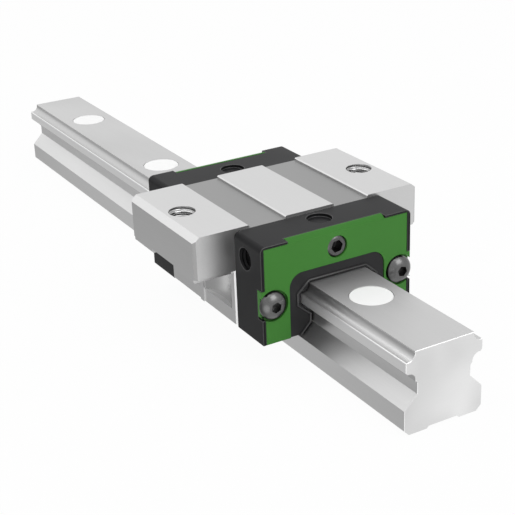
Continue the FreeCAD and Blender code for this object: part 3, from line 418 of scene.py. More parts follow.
# a near-white rough steel for faces under the flange: painted light against their shade
hollowFloorPaintedLight = machinedSteel("hollowFloorPaintedLight", 0.90, 0.60, spread=0.01, grain=0.02, lines=0.99)
drawnFlank = machinedSteel("drawnFlank", 0.58, 0.34, spread=0.02, grain=0.05, lines=0.97)
sawnFace = machinedSteel("sawnFace", 0.63, 0.36, spread=0.02, grain=0.05, lines=0.97)
railTop = machinedSteel("railTop", 0.61, 0.48, spread=0.05, grain=0.05, lines=0.98)
railFlank = machinedSteel("railFlank", 0.79, 0.38, spread=0.03, grain=0.04, lines=0.98)
railEar = machinedSteel("railEar", 0.95, 0.52, spread=0.01, grain=0.03, lines=0.99)
raceway = machinedSteel("raceway", 0.61, 0.36, spread=0.01, grain=0.0, lines=1.0)
# a near-white steel for the flat between the upper groove and the ear: a painted glint
racewayEdgePaintedGlint = machinedSteel("racewayEdgePaintedGlint", 0.97, 0.36, spread=0.01, grain=0.0, lines=1.0)
sawnEnd = machinedSteel("sawnEnd", 0.78, 0.40, lay=(0.12, 1.0, 1.0), spread=0.13, grain=0.03,
                        lines=0.99)
threadSteel = machinedSteel("threadSteel", 0.50, 0.26, spread=0.02, grain=0.02)
blackSteel = machinedSteel("blackSteel", 0.14, 0.28, lay=(1, 1, 1), spread=0.05, grain=0.03)
plugSteel = machinedSteel("plugSteel", 0.11, 0.34, lay=(1, 1, 1), spread=0.05, grain=0.03)
ballSteel = machinedSteel("ballSteel", 0.75, 0.12, lay=(1, 1, 1), spread=0.01, grain=0.0)
blackMoulding = mouldedPlastic("blackMoulding", (0.011, 0.011, 0.012), 0.40, grain=0.12, gloss=0.11)
blackEdge = mouldedPlastic("blackEdge", (0.014, 0.014, 0.015), 0.30, grain=0.05, gloss=0.60)
greenMoulding = mouldedPlastic("greenMoulding", (0.053, 0.212, 0.034), 0.44, grain=0.08, gloss=0.16,
                               spread=0.02)
# the cover's green made darker for the tab's upward faces: painted shade
greenTabPaintedShade = mouldedPlastic("greenTabPaintedShade", (0.042, 0.172, 0.027), 0.50, grain=0.08, gloss=0.10,
                          spread=0.02)
sealRubber = mouldedPlastic("sealRubber", (0.019, 0.019, 0.020), 0.45, grain=0.10, gloss=0.20)
sealEdge = mouldedPlastic("sealEdge", (0.020, 0.020, 0.021), 0.30, grain=0.03, gloss=0.60)
naturalPlastic = mouldedPlastic("naturalPlastic", (0.55, 0.53, 0.47), 0.45)
whitePlastic = mouldedPlastic("whitePlastic", (0.90, 0.90, 0.90), 0.45, grain=0.03, spread=0.005)
print("materials made")


# rail

def makeRail():
    s = railSize
    half = s["length"] / 2
    verts, faces = barShape(railOutline(), -half, half, bevel=s["endBevel"])
    rail = pieceFrom("railBar", verts, faces, "rail", "rail_steel", ["guide_rail"])
    count = round(s["length"] / s["holePitch"])
    holes = (np.arange(count) - (count - 1) / 2) * s["holePitch"]
    cuts = [discBar(s["holeRadius"], -past, s["height"], (0, y, 0), "z") for y in holes]
    cuts += [discBar(s["boreRadius"], s["height"] - s["boreDepth"], s["height"] + past,
                     (0, y, 0), "z") for y in holes]
    smoothed(carve(rail, cuts), s["crease"])
    paint(rail, railFlank, railTop, raceway, sawnEnd, railEar, racewayEdgePaintedGlint)
    normals, middles = faceFacts(rail)
    x, z = np.abs(middles[:, 0]), middles[:, 2]
    along, up = np.abs(normals[:, 1]), normals[:, 2]
    onSide = along < facing["little"]
    paintWhere(rail, railTop, (up > facing["square"]) & (z > s["height"] - s["topSkin"]))
    # the grooves' faces, between the narrow flat over the waist, the top's brink and the ear
    hollow = ((z > s["waistTop"] + s["flatHigh"]) & (z < s["height"] - s["brinkHigh"])
              & (x > s["waistHalf"] + s["flatWide"]) & (x < s["earHalf"] - s["landOut"]))
    paintWhere(rail, raceway, onSide & hollow & (np.abs(up) > facing["none"]))
    paintWhere(rail, railEar, onSide & (x > s["earHalf"] - s["earSkin"]) & (z > s["earBottom"]))
    # the narrow flat between the upper groove and the ear is painted near white, a painted glint along
    # the ear
    paintWhere(rail, racewayEdgePaintedGlint, onSide & (x > s["earHalf"] - s["landIn"])
               & (x < s["earHalf"] - s["earSkin"]) & (z > s["earTop"]))
    paintWhere(rail, sawnEnd, along > facing["half"])
    return holes


plugSize = {"radius": 5.62, "thickness": 3.0, "edge": 0.12, "below": 0.05, "crown": 0.03,
            "rounding": 0.04, "crease": 40}


def makePlugs(holes):
    # flush discs whose tops are very slightly crowned, with a soft rim
    s = plugSize
    top = railSize["height"] - s["below"]
    run = np.linspace(0, 1, 9)
    crown = np.column_stack([run * (s["radius"] - s["edge"]), top + s["crown"] * (1 - run ** 2)])
    profile = np.vstack([crown, [(s["radius"], top - s["edge"]),
                                 (s["radius"], top - s["thickness"]), (0, top - s["thickness"])]])
    shapes = [turnedShape(profile, (0, y, 0), "z", 72) for y in holes]
    verts = np.vstack([shape[0] for shape in shapes])
    step = len(shapes[0][0])
    faces = [[corner + number * step for corner in face]
             for number, shape in enumerate(shapes) for face in shape[1]]
    plugs = pieceFrom("railHolePlugs", verts, faces, "rail", "plug_plastic", ["rail_plugs"])
    paint(softened(plugs, s["rounding"], s["crease"]), whitePlastic)


railHoles = makeRail()
makePlugs(railHoles)
print("rail made")


# saddle

saddleSize = {
    "length": 37.6, "top": 36.0, "channel": 0.8, "centreHalf": 7.6, "flangeHalf": 35.0,
    "landInset": 16.5, "landChamfer": 0.3, "edgeWide": 1.8, "edgeHigh": 1.5, "padUnder": 23.1,
    "under": 24.2, "skirtHalf": 23.5, "bottom": 8.4, "crownTop": 24.0, "crownHalf": 8.2,
    "seatTop": 23.3, "slotHalf": 13.0, "seatSlack": 0.1, "lipX": 9.6, "lipZ": 11.4,
    "legInner": 11.9, "padEnd": 1.2, "padGap": 12.9, "scallopRadius": 19.0, "scallopChord": 15.6,
    "scallopSpacing": 17.6, "scallopFloor": 12.3, "ribProud": 0.4, "boltHalf": 28.5,
    "threadRadius": 4.0, "mouthRadius": 3.7, "mouthDepth": 0.15, "cornerBevel": 0.7,
    "skirtBevel": 0.45, "returns": ((18.0, 25.0), (17.6, 12.3)), "boreRadius": 2.655,
    "slotEase": 0.15, "ribSink": 0.5, "ribLift": 0.001, "ribOver": 0.2, "wedgeOver": 0.5,
    "threadMajor": 3.97, "threadMinor": 3.3, "threadPitch": 1.25, "threadLift": 0.1,
    "crease": 15,
    # how far each finish reaches inwards, and how near a face has to lie to a height
    "hollowIn": 2.1, "hollowSkin": 0.02, "near": 0.1,
}


def saddleOutline():
    s, r = saddleSize, railSize
    soft, floor = s["landChamfer"], s["top"] - s["channel"]
    outer = s["flangeHalf"] - s["landInset"]
    upper = ballRow((r["topHalf"], r["height"]), (r["earHalf"], r["earTop"]), False)[0]
    lower = ballRow((r["waistHalf"], r["waistTop"]), (r["earHalf"], r["earBottom"]), True)[0]
    seat = r["ballRadius"] + s["seatSlack"]
    lip = seat * math.sqrt(0.5)
    upperEnd, lowerStart = upper + [lip, -lip], lower + [lip, lip]
    upperIn = (upper[0] - math.sqrt(seat ** 2 - (s["seatTop"] - upper[1]) ** 2), s["seatTop"])
    lowerIn = (s["lipX"], lower[1] - math.sqrt(seat ** 2 - (lower[0] - s["lipX"]) ** 2))
    right = joined(
        (s["centreHalf"] - soft, s["top"]), (s["centreHalf"], s["top"] - soft),
        (s["centreHalf"], floor), (outer, floor), (outer, s["top"] - soft),
        (outer + soft, s["top"]), (s["flangeHalf"] - s["edgeWide"], s["top"]),
        (s["flangeHalf"], s["top"] - s["edgeHigh"]), (s["flangeHalf"], s["padUnder"] + soft),
        (s["flangeHalf"] - soft, s["padUnder"]), (s["skirtHalf"], s["padUnder"]),
        (s["skirtHalf"], s["bottom"]), (s["legInner"], s["bottom"]),
        (s["legInner"], s["lipZ"] - (s["legInner"] - s["lipX"])), (s["lipX"], s["lipZ"]),
        arcPoints(lower, lowerIn, lowerStart, False), (s["slotHalf"], lowerStart[1] + s["slotEase"]),
        (s["slotHalf"], upperEnd[1] - s["slotEase"]), arcPoints(upper, upperEnd, upperIn, False),
        (s["crownHalf"], s["seatTop"]), (s["crownHalf"], s["crownTop"]))
    return bothSides(right)


def boxShape(x0, y0, z0, x1, y1, z1):
    return barShape(np.array([(x0, z0), (x1, z0), (x1, z1), (x0, z1)], float), y0, y1)


def makeSaddle():
    s = saddleSize
    end = s["length"] / 2
    saddle = pieceFrom("saddleBlock", *atEnd(barShape(saddleOutline(), -end, end), False),
                       body="carriage", slot="saddle_steel", stands=["saddle"])
    cuts = []
    for side in (-1, 1):
        inner, outer = sorted((s["skirtHalf"] * side, (s["flangeHalf"] + past) * side))
        for low, high in ((-end - past, s["padEnd"] - end), (-s["padGap"] / 2, s["padGap"] / 2),
                          (end - s["padEnd"], end + past)):
            cuts.append(boxShape(inner, low, s["padUnder"] - past, outer, high, s["under"]))
        chord = s["scallopChord"] / 2
        drop = math.sqrt(s["scallopRadius"] ** 2 - chord ** 2)
        for along in (-1, 1):
            middle = s["scallopSpacing"] / 2 * along
            low, high = middle - chord, middle + chord
            skirt, outside = s["skirtHalf"] * side, (s["skirtHalf"] + past) * side
            scallop = joined(arcPoints(((s["skirtHalf"] + drop) * side, middle), (skirt, low),
                                       (skirt, high), clockwise=side > 0, steps=24),
                             (outside, high), (outside, low))
            cuts.append(barShape(scallop, s["scallopFloor"], s["under"], "z"))
        for corner, bevel, low, high in (
                (s["flangeHalf"] * side, s["cornerBevel"], s["padUnder"] - past, s["top"] + past),
                (s["skirtHalf"] * side, s["skirtBevel"], s["bottom"] - past, s["under"])):
            for along in (-1, 1):
                wedge = np.array([(corner - bevel * side, end * along),
                                  (corner + s["wedgeOver"] * side, (end + s["wedgeOver"]) * along),
                                  (corner, (end - bevel) * along)])
                cuts.append(barShape(wedge, low, high, "z"))
        bolt = (s["boltHalf"] * side, 0, 0)
        cuts.append(discBar(s["threadRadius"], s["padUnder"] - past, s["top"] - s["mouthDepth"],
                            bolt, "z"))
        cuts.append(discBar(s["mouthRadius"], s["top"] - past, s["top"] + past, bolt, "z"))
        for x, z in s["returns"]:
            cuts.append(discBar(s["boreRadius"], -end - past, end + past, (x * side, 0, z), "y",
                                40))
    carve(saddle, [atEnd(cut, False) for cut in cuts])
    rib = (s["scallopSpacing"] - s["scallopChord"]) / 2
    ribs = []
    for side in (-1, 1):
        inner, outer = sorted(((s["skirtHalf"] - s["ribSink"]) * side,
                               (s["skirtHalf"] + s["ribProud"]) * side))
        ribs.append(boxShape(inner, -rib, s["bottom"] + s["ribLift"], outer, rib,
                             s["under"] + s["ribOver"]))
    carve(saddle, [atEnd(r, False) for r in ribs], "UNION")
    smoothed(saddle, s["crease"])
    paint(saddle, drawnFlank, groundLand, milledChannelAndPaintedShade, groundEdgePaintedHighlight, milledHollow, hollowFloorPaintedLight,
          sawnFace)
    normals, middles = faceFacts(saddle)
    across, along, up = np.abs(normals[:, 0]), np.abs(normals[:, 1]), normals[:, 2]
    out, height, near = np.abs(middles[:, 0]), middles[:, 2], s["near"]
    upright, level = np.abs(up) < facing["hardly"], up > facing["square"]
    diagonal = upright & (np.abs(across - math.sqrt(0.5)) < facing["hardly"])
    onFlange = out > s["flangeHalf"] - s["cornerBevel"]
    paintWhere(saddle, milledHollow, upright & (out > s["skirtHalf"] - s["hollowIn"])
               & (out < s["skirtHalf"] - s["hollowSkin"]) & (across > facing["mostly"]))
    # the ledge under the flange is painted near white, painted light where it lies in shade
    paintWhere(saddle, hollowFloorPaintedLight, level & (np.abs(height - s["scallopFloor"]) < near))
    # the flange's corner chamfers are painted the channel's dark steel: painted shade that dims the
    # panel's reflection there
    paintWhere(saddle, milledChannelAndPaintedShade, diagonal & onFlange)
    # the skirt's corner chamfers under the flange take the same painted light
    paintWhere(saddle, hollowFloorPaintedLight,
               diagonal & ~onFlange & (out > s["skirtHalf"] - s["skirtBevel"]))
    paintWhere(saddle, milledChannelAndPaintedShade, level & (np.abs(height - s["top"] + s["channel"]) < near))
    paintWhere(saddle, sawnFace, along > facing["square"])
    paintWhere(saddle, groundLand, level & (height > s["top"] - near))
    # the chamfers along the lands and the flange's top edge are painted lighter than the lands: a painted
    # highlight
    paintWhere(saddle, groundEdgePaintedHighlight, (up > facing["half"]) & ~level
               & (height > s["top"] - s["edgeHigh"]))


threadForm = {"segments": 56, "perTurn": 10, "crest": 1.25, "steep": 3.2, "wall": 0.02,
              "crease": 60}


def threadShape(major, minor, pitch, low, high, centre, axis):
    # a closed sleeve with an inside thread. Its radius falls from major to minor and back once
    # every pitch, by crest - steep * |phase - 1/2| held between 0 and 1, and each tooth climbs by
    # one pitch in one turn
    s = threadForm
    segments = s["segments"]
    rows = int((high - low) / pitch * s["perTurn"]) + 1
    height = np.linspace(low, high, rows)[:, None]
    angle = np.arange(segments)[None, :] * 2 * math.pi / segments
    phase = (height / pitch - angle / (2 * math.pi)) % 1.0
    tooth = np.clip(s["crest"] - np.abs(phase - 0.5) * s["steep"], 0.0, 1.0)
    ends = np.clip((height - low) / pitch, 0, 1) * np.clip((high - height) / pitch, 0, 1)
    radius = major - (major - minor) * tooth * ends
    radius = np.vstack([radius, np.full((2, segments), major + s["wall"])])
    height = np.vstack([height, [[high], [low]]])
    a, b = radius * np.cos(angle), radius * np.sin(angle)
    h = np.repeat(height, segments, axis=1)
    parts = {"x": (h, a, b), "y": (a, h, b), "z": (a, b, h)}[axis]
    return np.stack(parts, axis=-1).reshape(-1, 3) + np.array(centre, float), \
        gridQuads(rows + 2, segments, ring=True)


def makeFlangeThreads():
    s = saddleSize
    for side, name in ((-1, "left"), (1, "right")):
        shape = threadShape(s["threadMajor"], s["threadMinor"], s["threadPitch"],
                            s["under"] + s["threadLift"], s["top"] - s["mouthDepth"],
                            (s["boltHalf"] * side, 0, 0), "z")
        piece = pieceFrom(f"{name}FlangeThread", *atEnd(shape, False), body="carriage",
                          slot="saddle_steel")
        paint(smoothed(piece, threadForm["crease"]), threadSteel)


makeSaddle()
makeFlangeThreads()
print("saddle made")


# end pieces

endSize = {
    "depth": 13.4, "half": 23.2, "top": 35.2, "bottom": 7.7, "corner": 1.6, "railGap": 0.9,
    "setBack": 0.2, "plate": 1.2, "slack": 0.1, "coverHalf": 22.1, "coverTop": 34.4,
    "openHalf": 14.8, "openTop": 25.7, "openCorner": 4.0, "topTabHalf": 14.9, "topTab": 2.1,
    "tabSlope": 1.4, "sideLow": 15.6, "sideHigh": 23.0, "sideTab": 2.0, "tab": 1.0,
    "sideFrom": 0.3, "screwHalf": 19.7, "screwHigh": 18.4, "screwHole": 1.98, "portRadius": 3.0,
    "portRoom": 0.05, "portHigh": 29.5, "portFrom": 5.3, "portDepth": 7.0, "plugHigh": 30.0,
    "threadMajor": 2.97, "threadMinor": 2.5, "threadPitch": 1.0, "threadSink": 0.35,
    "seatRadius": 3.4, "seatDepth": 1.0, "seatFrom": 4.6, "headSeat": 4.4, "headSeatDepth": 0.95,
    "edge": 0.20, "notchBelow": 0.6, "coreHalf": 5.0, "coreHigh": 12.0,
    "screwThrough": 5.0, "portThrough": 3.0, "crease": 30, "tabSkin": 0.1,
}


def archHalf(half, top, corner, bottom):
    centre = (half - corner, top - corner)
    return joined(arcPoints(centre, (half - corner, top), (half, top - corner), True, 12),
                  (half, bottom))


def gapHalf(gap, bottom, mitre=0.41):
    # follows the rail at an even gap, in straight runs; at a 45 degree corner the point moves on
    # by the mitre's share of the gap
    s, ease = railSize, gap * mitre
    slope = (s["baseHalf"] - s["waistHalf"]) / (s["waistBottom"] - s["baseTop"])
    foot = s["waistHalf"] + gap + (s["waistBottom"] + ease - bottom) * slope
    return joined((s["topHalf"] + ease, s["height"] + gap), (s["earHalf"] + gap, s["earTop"] + ease),
                  (s["earHalf"] + gap, s["earBottom"] - ease),
                  (s["waistHalf"] + gap, s["waistTop"] - ease),
                  (s["waistHalf"] + gap, s["waistBottom"] + ease), (foot, bottom))


def coverHalfOutline(slack):
    s = endSize
    half = s["coverHalf"] + slack
    return joined((half, s["coverTop"] + slack), (half, s["sideHigh"] + slack),
                  (s["half"], s["sideHigh"] + slack), (s["half"], s["sideLow"] - slack),
                  (half, s["sideLow"] - slack), (half, s["bottom"]))


def straddled(outside, inside):
    return bothSides(np.vstack([outside, inside[::-1]]))


def mirroredBoxes(x0, y0, z0, x1, y1, z1):
    return [boxShape(x0, y0, z0, x1, y1, z1), boxShape(-x1, y0, z0, -x0, y1, z1)]


def makeEndPiece(name, rear):
    s = endSize
    start = -saddleSize["length"] / 2
    front = start - s["depth"]
    slack = s["slack"]
    body = straddled(archHalf(s["half"], s["top"], s["corner"], s["bottom"]),
                     gapHalf(s["railGap"], s["bottom"]))
    piece = pieceFrom(f"{name}EndMoulding", *atEnd(barShape(body, front, start), rear),
                      body="carriage", slot="end_piece_plastic", stands=[f"{name}_end_piece"])
    face = front + s["setBack"] + s["plate"]
    outside = coverHalfOutline(slack)
    outside[2:4, 0] += past
    outside[3:5, 1] -= s["notchBelow"]
    outside[-1, 1] -= past
    core = np.array([(s["coreHalf"], s["bottom"] + s["coreHigh"]),
                     (s["coreHalf"], s["bottom"] - past)])
    cuts = [barShape(straddled(outside, core), front - past, face)]
    cuts.append(boxShape(-s["topTabHalf"] - slack, front - past, s["top"] - s["tab"] - slack,
                         s["topTabHalf"] + slack, front + s["setBack"] + slack + s["topTab"],
                         s["top"] + past))
    cuts += mirroredBoxes(s["half"] - s["tab"] - slack, front - past,
                          s["sideLow"] - slack - s["notchBelow"], s["half"] + past,
                          front + s["setBack"] + slack + s["sideTab"], s["sideHigh"] + slack)
    port = (0, start - s["portFrom"], s["portHigh"])
    for side in (-1, 1):
        cuts.append(discBar(s["screwHole"], front - past, start + past,
                            (s["screwHalf"] * side, 0, s["screwHigh"]), "y", 40))
        cuts.append(discBar(s["portRadius"], (s["half"] - s["portDepth"]) * side,
                            (s["half"] + past) * side, port, "x"))
    cuts.append(discBar(s["portRadius"], front - past, face + s["portDepth"],
                        (0, 0, s["plugHigh"]), "y", 48))
    cuts.append(discBar(s["seatRadius"], s["top"] - s["seatDepth"], s["top"] + past,
                        (0, start - s["seatFrom"], 0), "z"))
    carve(piece, [atEnd(cut, rear) for cut in cuts])
    # the rounded edges take the second finish
    paint(softened(piece, s["edge"], finish=1), blackMoulding, blackEdge)
    for side, hand in ((-1, "left"), (1, "right")):
        low, high = sorted(((s["half"] - s["portDepth"]) * side,
                            (s["half"] - s["threadSink"]) * side))
        thread = threadShape(s["threadMajor"], s["threadMinor"], s["threadPitch"], low, high,
                             port, "x")
        sleeve = pieceFrom(f"{name}{hand.capitalize()}PortThread", *atEnd(thread, rear),
                           body="carriage", slot="end_piece_plastic")
        paint(smoothed(sleeve, threadForm["crease"]), blackMoulding)


def makeCover(name, rear):
    s = endSize
    front = -saddleSize["length"] / 2 - s["depth"] + s["setBack"]
    opening = archHalf(s["openHalf"], s["openTop"], s["openCorner"], s["bottom"])
    outline = straddled(coverHalfOutline(0.0), opening)
    cover = pieceFrom(f"{name}Cover", *atEnd(barShape(outline, front, front + s["plate"]), rear),
                      body="carriage", slot="cover_plastic", stands=[f"{name}_cover_plate"])
    slope = np.array([(front, s["top"] - s["tab"]), (front + s["topTab"], s["top"] - s["tab"]),
                      (front + s["topTab"], s["top"]), (front + s["tabSlope"], s["top"]),
                      (front, s["coverTop"])])
    tabs = [barShape(slope, -s["topTabHalf"], s["topTabHalf"], "x")]
    tabs += mirroredBoxes(s["half"] - s["tab"], front + s["sideFrom"], s["sideLow"], s["half"],
                          front + s["sideTab"], s["sideHigh"])
    carve(cover, [atEnd(tab, rear) for tab in tabs], "UNION")
    cuts = []
    for side in (-1, 1):
        place = (s["screwHalf"] * side, 0, s["screwHigh"])
        cuts.append(discBar(s["headSeat"], front - past, front + s["headSeatDepth"], place, "y",
                            72))
        cuts.append(discBar(s["screwHole"], front - past, front + s["screwThrough"], place, "y",
                            40))
    cuts.append(discBar(s["portRadius"] + s["portRoom"], front - past, front + s["portThrough"],
                        (0, 0, s["plugHigh"]), "y"))
    carve(cover, [atEnd(cut, rear) for cut in cuts])
    cover.visible_glossy = False  # the rail's steel mirrors the dark moulding, not the cover
    paint(smoothed(cover, s["crease"]), greenMoulding, greenTabPaintedShade)
    normals, middles = faceFacts(cover)
    # the tab's upward faces take the darker green, painted shade on the tab's top
    paintWhere(cover, greenTabPaintedShade, (normals[:, 2] > facing["some"])
               & (middles[:, 2] > s["coverTop"] + s["tabSkin"]))


sealSize = {"slack": 0.1, "thick": 0.9, "gap": 0.2, "ridge": (0.4, 1.05), "proud": 0.5,
            "sink": 0.02, "earRoom": 0.4, "edge": 0.08, "crease": 60}


def makeSeal(name, rear):
    # a flat moulding whose opening follows the rail's own outline, with a rounded lip round it
    s, e = sealSize, endSize
    back = -saddleSize["length"] / 2 - e["depth"] + e["setBack"] + e["plate"]
    slack = s["slack"]
    outside = archHalf(e["openHalf"] - slack, e["openTop"] - slack, e["openCorner"] - slack,
                       e["bottom"])
    inner = shiftedRun(s["gap"], e["bottom"])
    disc = pieceFrom(f"{name}Seal", *atEnd(barShape(straddled(outside, inner), back - s["thick"],
                                                    back), rear),
                     body="carriage", slot="seal_rubber", stands=[f"{name}_wiper_seal"])
    paint(softened(disc, s["edge"]), sealRubber)
    low, high = s["ridge"]
    rows = []
    for share in np.linspace(0, 1, 11):
        run = bothSides(lipHalf(low + (high - low) * share, e["bottom"]))
        run = np.roll(run, len(run) // 2, axis=0)
        rise = s["proud"] * math.sqrt(1 - (2 * share - 1) ** 2)
        rows.append(placed(run, back - s["thick"] + s["sink"] - rise, "y"))
    count = len(rows[0])
    faces = gridQuads(len(rows), count, closed=False, ring=True)
    faces += [[row * count + end for row in range(len(rows))] for end in (0, count - 1)]
    lip = pieceFrom(f"{name}SealLip", turnAbout(np.vstack(rows), rear), faces, body="carriage",
                    slot="seal_rubber")
    paint(smoothed(lip, s["crease"]), sealEdge)


def lipHalf(gap, bottom):
    # straight runs round the rail, which stand a little further off at its ears
    run = gapHalf(gap, bottom)
    run[1:3, 0] += sealSize["earRoom"]
    return run


def shiftedRun(gap, bottom, hair=0.05):
    # the rail's right half moved outwards by the gap, cut off at the bottom of the end piece;
    # a point less than a hair above the cut is left out
    whole = shifted(railOutline(), gap)
    right = whole[:len(railHalf())]
    kept = right[right[:, 1] > bottom + hair]
    last, after = kept[-1], right[len(kept)]
    share = (last[1] - bottom) / (last[1] - after[1])
    return np.vstack([kept, last + (after - last) * share])


screwSize = {
    "head": 3.8, "high": 2.55, "rim": 0.9, "crown": 1.95, "socket": 2.6, "socketDeep": 2.3,
    "shank": 1.95, "length": 20.0, "tip": 0.4, "under": (0.1, 0.12), "bulge": 0.22,
    "bulgeOut": 0.45, "bulgeUp": 0.5, "steep": 0.85, "turned": 34, "apart": 12, "edge": 0.06,
    "crease": 38,
}
portPlugSize = {"radius": 2.8, "proud": -0.2, "length": 8.5, "bevel": 0.35, "socket": 3.1,
                "socketDeep": 3.0, "turned": 8, "edge": 0.08, "crease": 38}


def hexBar(across, low, high, centre, turned):
    return discBar(across / math.sqrt(3), low, high, centre, "y", 6, turned)


def makeScrews(name, rear):
    # button heads: a dome from the rim up to a small flat round the socket. Its points run
    # evenly inwards and rise by share ** steep, and half a sine wave bulges them out and up
    s, e = screwSize, endSize
    seat = -saddleSize["length"] / 2 - e["depth"] + e["setBack"] + e["headSeatDepth"]
    share = np.linspace(0, 1, 12)
    bulge = s["bulge"] * np.sin(math.pi * share)
    reach = s["head"] + (s["crown"] - s["head"]) * share + bulge * s["bulgeOut"]
    rise = s["rim"] + (s["high"] - s["rim"]) * share ** s["steep"] + bulge * s["bulgeUp"]
    dome = np.column_stack([reach, rise])
    dome[-1] = (s["crown"], s["high"])
    inset, lift = s["under"]
    profile = joined((0, -s["length"]), (s["shank"] - s["tip"], -s["length"]),
                     (s["shank"], s["tip"] - s["length"]), (s["shank"], 0),
                     (s["head"] - inset, 0), (s["head"], lift), dome, (0, s["high"]))
    profile[:, 1] *= -1
    for side, hand in ((-1, "left"), (1, "right")):
        place = (e["screwHalf"] * side, seat, e["screwHigh"])
        shape = turnedShape(profile, place, "y", 64)
        screw = pieceFrom(f"{name}{hand.capitalize()}Screw", *atEnd(shape, rear), body="carriage",
                          slot="screw_steel", stands=[f"{name}_cover_screws"])
        socket = hexBar(s["socket"], -s["high"] - past, -s["high"] + s["socketDeep"], place,
                        math.radians(s["turned"] + s["apart"] * side))
        carve(screw, [atEnd(socket, rear)])
        paint(softened(screw, s["edge"], s["crease"]), blackSteel)


def makePortPlug(name, rear):
    # a set screw: a flat annular face, a bevelled rim and a hexagonal socket
    s, e = portPlugSize, endSize
    face = -saddleSize["length"] / 2 - e["depth"] + e["setBack"]
    place = (0, face, e["plugHigh"])
    profile = np.array([(0, s["length"] - s["proud"]), (s["radius"], s["length"] - s["proud"]),
                        (s["radius"], s["bevel"] - s["proud"]),
                        (s["radius"] - s["bevel"], -s["proud"]), (0, -s["proud"])])
    plug = pieceFrom(f"{name}PortPlug", *atEnd(turnedShape(profile, place, "y", 64), rear),
                     body="carriage", slot="screw_steel", stands=[f"{name}_port_plug"])
    socket = hexBar(s["socket"], -s["proud"] - past, s["socketDeep"] - s["proud"], place,
                    math.radians(s["turned"]))
    carve(plug, [atEnd(socket, rear)])
    paint(softened(plug, s["edge"], s["crease"]), plugSteel)


for endName, isRear in (("front", False), ("rear", True)):
    makeEndPiece(endName, isRear)
    makeCover(endName, isRear)
    makeSeal(endName, isRear)
    makeScrews(endName, isRear)
    makePortPlug(endName, isRear)
print("carriage ends made")


# hidden pieces keep their solids and get their finishes

for name, node in nodes.items():
    if node.hide_render:
        continue
    finish = naturalPlastic
    if name.endswith("_balls"):
        finish = ballSteel
    if name.endswith("_leg_seal"):
        finish = sealRubber
    paint(node, finish)


# stage, light and camera

stageSize = {
    "floor": 6.0, "level": -0.05, "floorTone": 0.75, "floorRough": 0.9, "floorGlow": 0.96,
    "skyForDiffuse": 0.62, "skyForGloss": 0.95,
    "flagFrom": (-0.88, 0.25, -0.40), "flagSpan": (0.45, 0.98), "flagDepth": 0.62,
    "panelFrom": (-0.67, -0.66, -0.34), "panelSpan": (0.86, 0.95), "panelGlow": 0.9,
    "shadeFrom": (-0.25, 0.95, -0.20), "shadeSpan": (0.96, 0.998), "shadeDepth": 0.6,
}


def makeStage():
    # the floor lies a hair under the rail and glows for the camera alone
    s = stageSize
    half = s["floor"] / 2 / mm
    square = np.array([(-half, -half), (half, -half), (half, half), (-half, half)])
    floor = pieceFrom("floor", placed(square, s["level"], "z"), [[0, 1, 2, 3]])
    floor.visible_glossy = False  # steel mirrors the studio beyond the floor
    material, tree, shader, _ = newMaterial("paleFloor")
    shader.inputs["Base Color"].default_value = (s["floorTone"],) * 3 + (1,)
    shader.inputs["Roughness"].default_value = s["floorRough"]
    glow = tree.nodes.new("ShaderNodeEmission")
    glow.inputs["Strength"].default_value = 1.0
    path = tree.nodes.new("ShaderNodeLightPath")
    share = tree.nodes.new("ShaderNodeMath")
    share.operation = "MULTIPLY"
    share.inputs[1].default_value = s["floorGlow"]
    tree.links.new(path.outputs["Is Camera Ray"], share.inputs[0])
    mix = tree.nodes.new("ShaderNodeMixShader")
    tree.links.new(share.outputs[0], mix.inputs["Fac"])
    tree.links.new(shader.outputs[0], mix.inputs[1])
    tree.links.new(glow.outputs[0], mix.inputs[2])
    tree.links.new(mix.outputs[0], tree.nodes["Material Output"].inputs["Surface"])
    paint(floor, material)


def towards(tree, coords, direction, span, atFar, atNear):
    # a value that eases from atFar to atNear as the sky's direction closes in on the given one
    unit = np.array(direction) / np.linalg.norm(direction)
    closeness = tree.nodes.new("ShaderNodeVectorMath")
    closeness.operation = "DOT_PRODUCT"
    closeness.inputs[1].default_value = unit
    tree.links.new(coords.outputs["Generated"], closeness.inputs[0])
    ease = tree.nodes.new("ShaderNodeMapRange")
    ease.interpolation_type = "SMOOTHSTEP"
    for socket, value in (("From Min", span[0]), ("From Max", span[1]),
                          ("To Min", atFar), ("To Max", atNear)):
        ease.inputs[socket].default_value = value
    tree.links.new(closeness.outputs["Value"], ease.inputs["Value"])
    return ease.outputs["Result"]


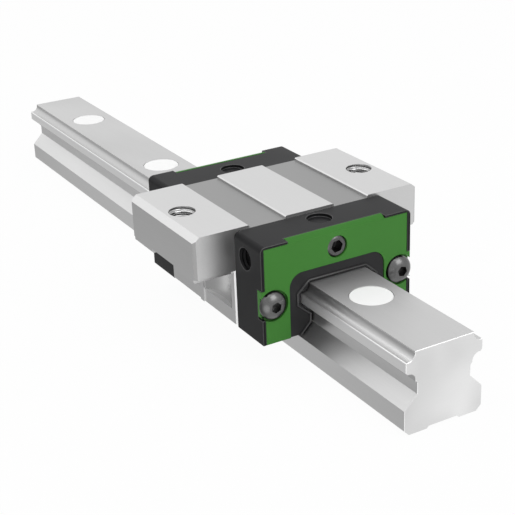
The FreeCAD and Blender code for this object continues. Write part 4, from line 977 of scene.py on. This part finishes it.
def makeWorld():
    # plastics see an even sky; gloss also sees a grey flag low on the left, a panel beside it
    # and a smaller flag low behind the rail's far end
    s = stageSize
    world = bpy.data.worlds.new("studio")
    bpy.context.scene.world = world
    world.use_nodes = True
    tree = world.node_tree
    back = tree.nodes["Background"]
    path = tree.nodes.new("ShaderNodeLightPath")
    coords = tree.nodes.new("ShaderNodeTexCoord")
    sky = towards(tree, coords, s["flagFrom"], s["flagSpan"], s["skyForGloss"],
                  s["skyForGloss"] * (1 - s["flagDepth"]))
    panel = towards(tree, coords, s["panelFrom"], s["panelSpan"], 0.0, s["panelGlow"])
    shade = towards(tree, coords, s["shadeFrom"], s["shadeSpan"], 1.0, 1.0 - s["shadeDepth"])
    both = tree.nodes.new("ShaderNodeMath")
    both.operation = "MULTIPLY_ADD"
    for source, socket in zip((sky, shade, panel), both.inputs):
        tree.links.new(source, socket)
    gloss = tree.nodes.new("ShaderNodeBackground")
    gloss.inputs["Color"].default_value = (1, 1, 1, 1)
    tree.links.new(both.outputs[0], gloss.inputs["Strength"])
    back.inputs["Color"].default_value = (1, 1, 1, 1)
    back.inputs["Strength"].default_value = s["skyForDiffuse"]
    seen = tree.nodes.new("ShaderNodeBackground")
    seen.inputs["Color"].default_value = (1, 1, 1, 1)
    first = tree.nodes.new("ShaderNodeMixShader")
    tree.links.new(path.outputs["Is Glossy Ray"], first.inputs["Fac"])
    tree.links.new(back.outputs[0], first.inputs[1])
    tree.links.new(gloss.outputs[0], first.inputs[2])
    second = tree.nodes.new("ShaderNodeMixShader")
    tree.links.new(path.outputs["Is Camera Ray"], second.inputs["Fac"])
    tree.links.new(first.outputs[0], second.inputs[1])
    tree.links.new(seen.outputs[0], second.inputs[2])
    tree.links.new(second.outputs[0], tree.nodes["World Output"].inputs["Surface"])


lampSize = {
    "topLamp": {"place": (-0.25, 0.15, 1.1), "size": 1.0, "watts": 4.2},
    "frontLamp": {"place": (0.26, -0.80, 0.88), "size": 0.75, "watts": 4.5},
}


def makeLamp(name):
    # a square lamp that faces the origin
    s = lampSize[name]
    lamp = bpy.data.lights.new(name, "AREA")
    lamp.shape = "SQUARE"
    lamp.size = s["size"]
    lamp.energy = s["watts"]
    holder = bpy.data.objects.new(name, lamp)
    bpy.context.scene.collection.objects.link(holder)
    away = np.array(s["place"]) / np.linalg.norm(s["place"])
    side = np.cross((0, 0, 1), away)
    side /= np.linalg.norm(side)
    rise = np.cross(away, side)
    turn = Matrix(np.column_stack([side, rise, away]).tolist()).to_4x4()
    holder.matrix_world = Matrix.Translation(s["place"]) @ turn


cameraSize = {
    "place": (-0.164069, -0.324963, 0.159911), "azimuth": -29.268, "elevation": 23.874,
    "roll": -2.269, "lens": 87.91, "sensor": 36.0, "near": 0.01, "far": 20.0,
}


def makeCamera():
    s = cameraSize
    turn, lift, roll = (math.radians(s[key]) for key in ("azimuth", "elevation", "roll"))
    back = np.array([math.sin(turn) * math.cos(lift), -math.cos(turn) * math.cos(lift),
                     math.sin(lift)])
    right = np.cross(-back, (0, 0, 1))
    right /= np.linalg.norm(right)
    up = np.cross(back, right)
    side = math.cos(roll) * right + math.sin(roll) * up
    top = -math.sin(roll) * right + math.cos(roll) * up
    camera = bpy.data.cameras.new("camera")
    camera.sensor_width = s["sensor"]
    camera.lens = s["lens"]
    camera.clip_start, camera.clip_end = s["near"], s["far"]
    holder = bpy.data.objects.new("camera", camera)
    bpy.context.scene.collection.objects.link(holder)
    turned = Matrix(np.column_stack([side, top, back]).tolist()).to_4x4()
    holder.matrix_world = Matrix.Translation(s["place"]) @ turned
    bpy.context.scene.camera = holder


makeStage()
makeWorld()
for lampName in lampSize:
    makeLamp(lampName)
makeCamera()
bpy.context.scene.view_settings.view_transform = "Standard"
print("stage, light and camera made")
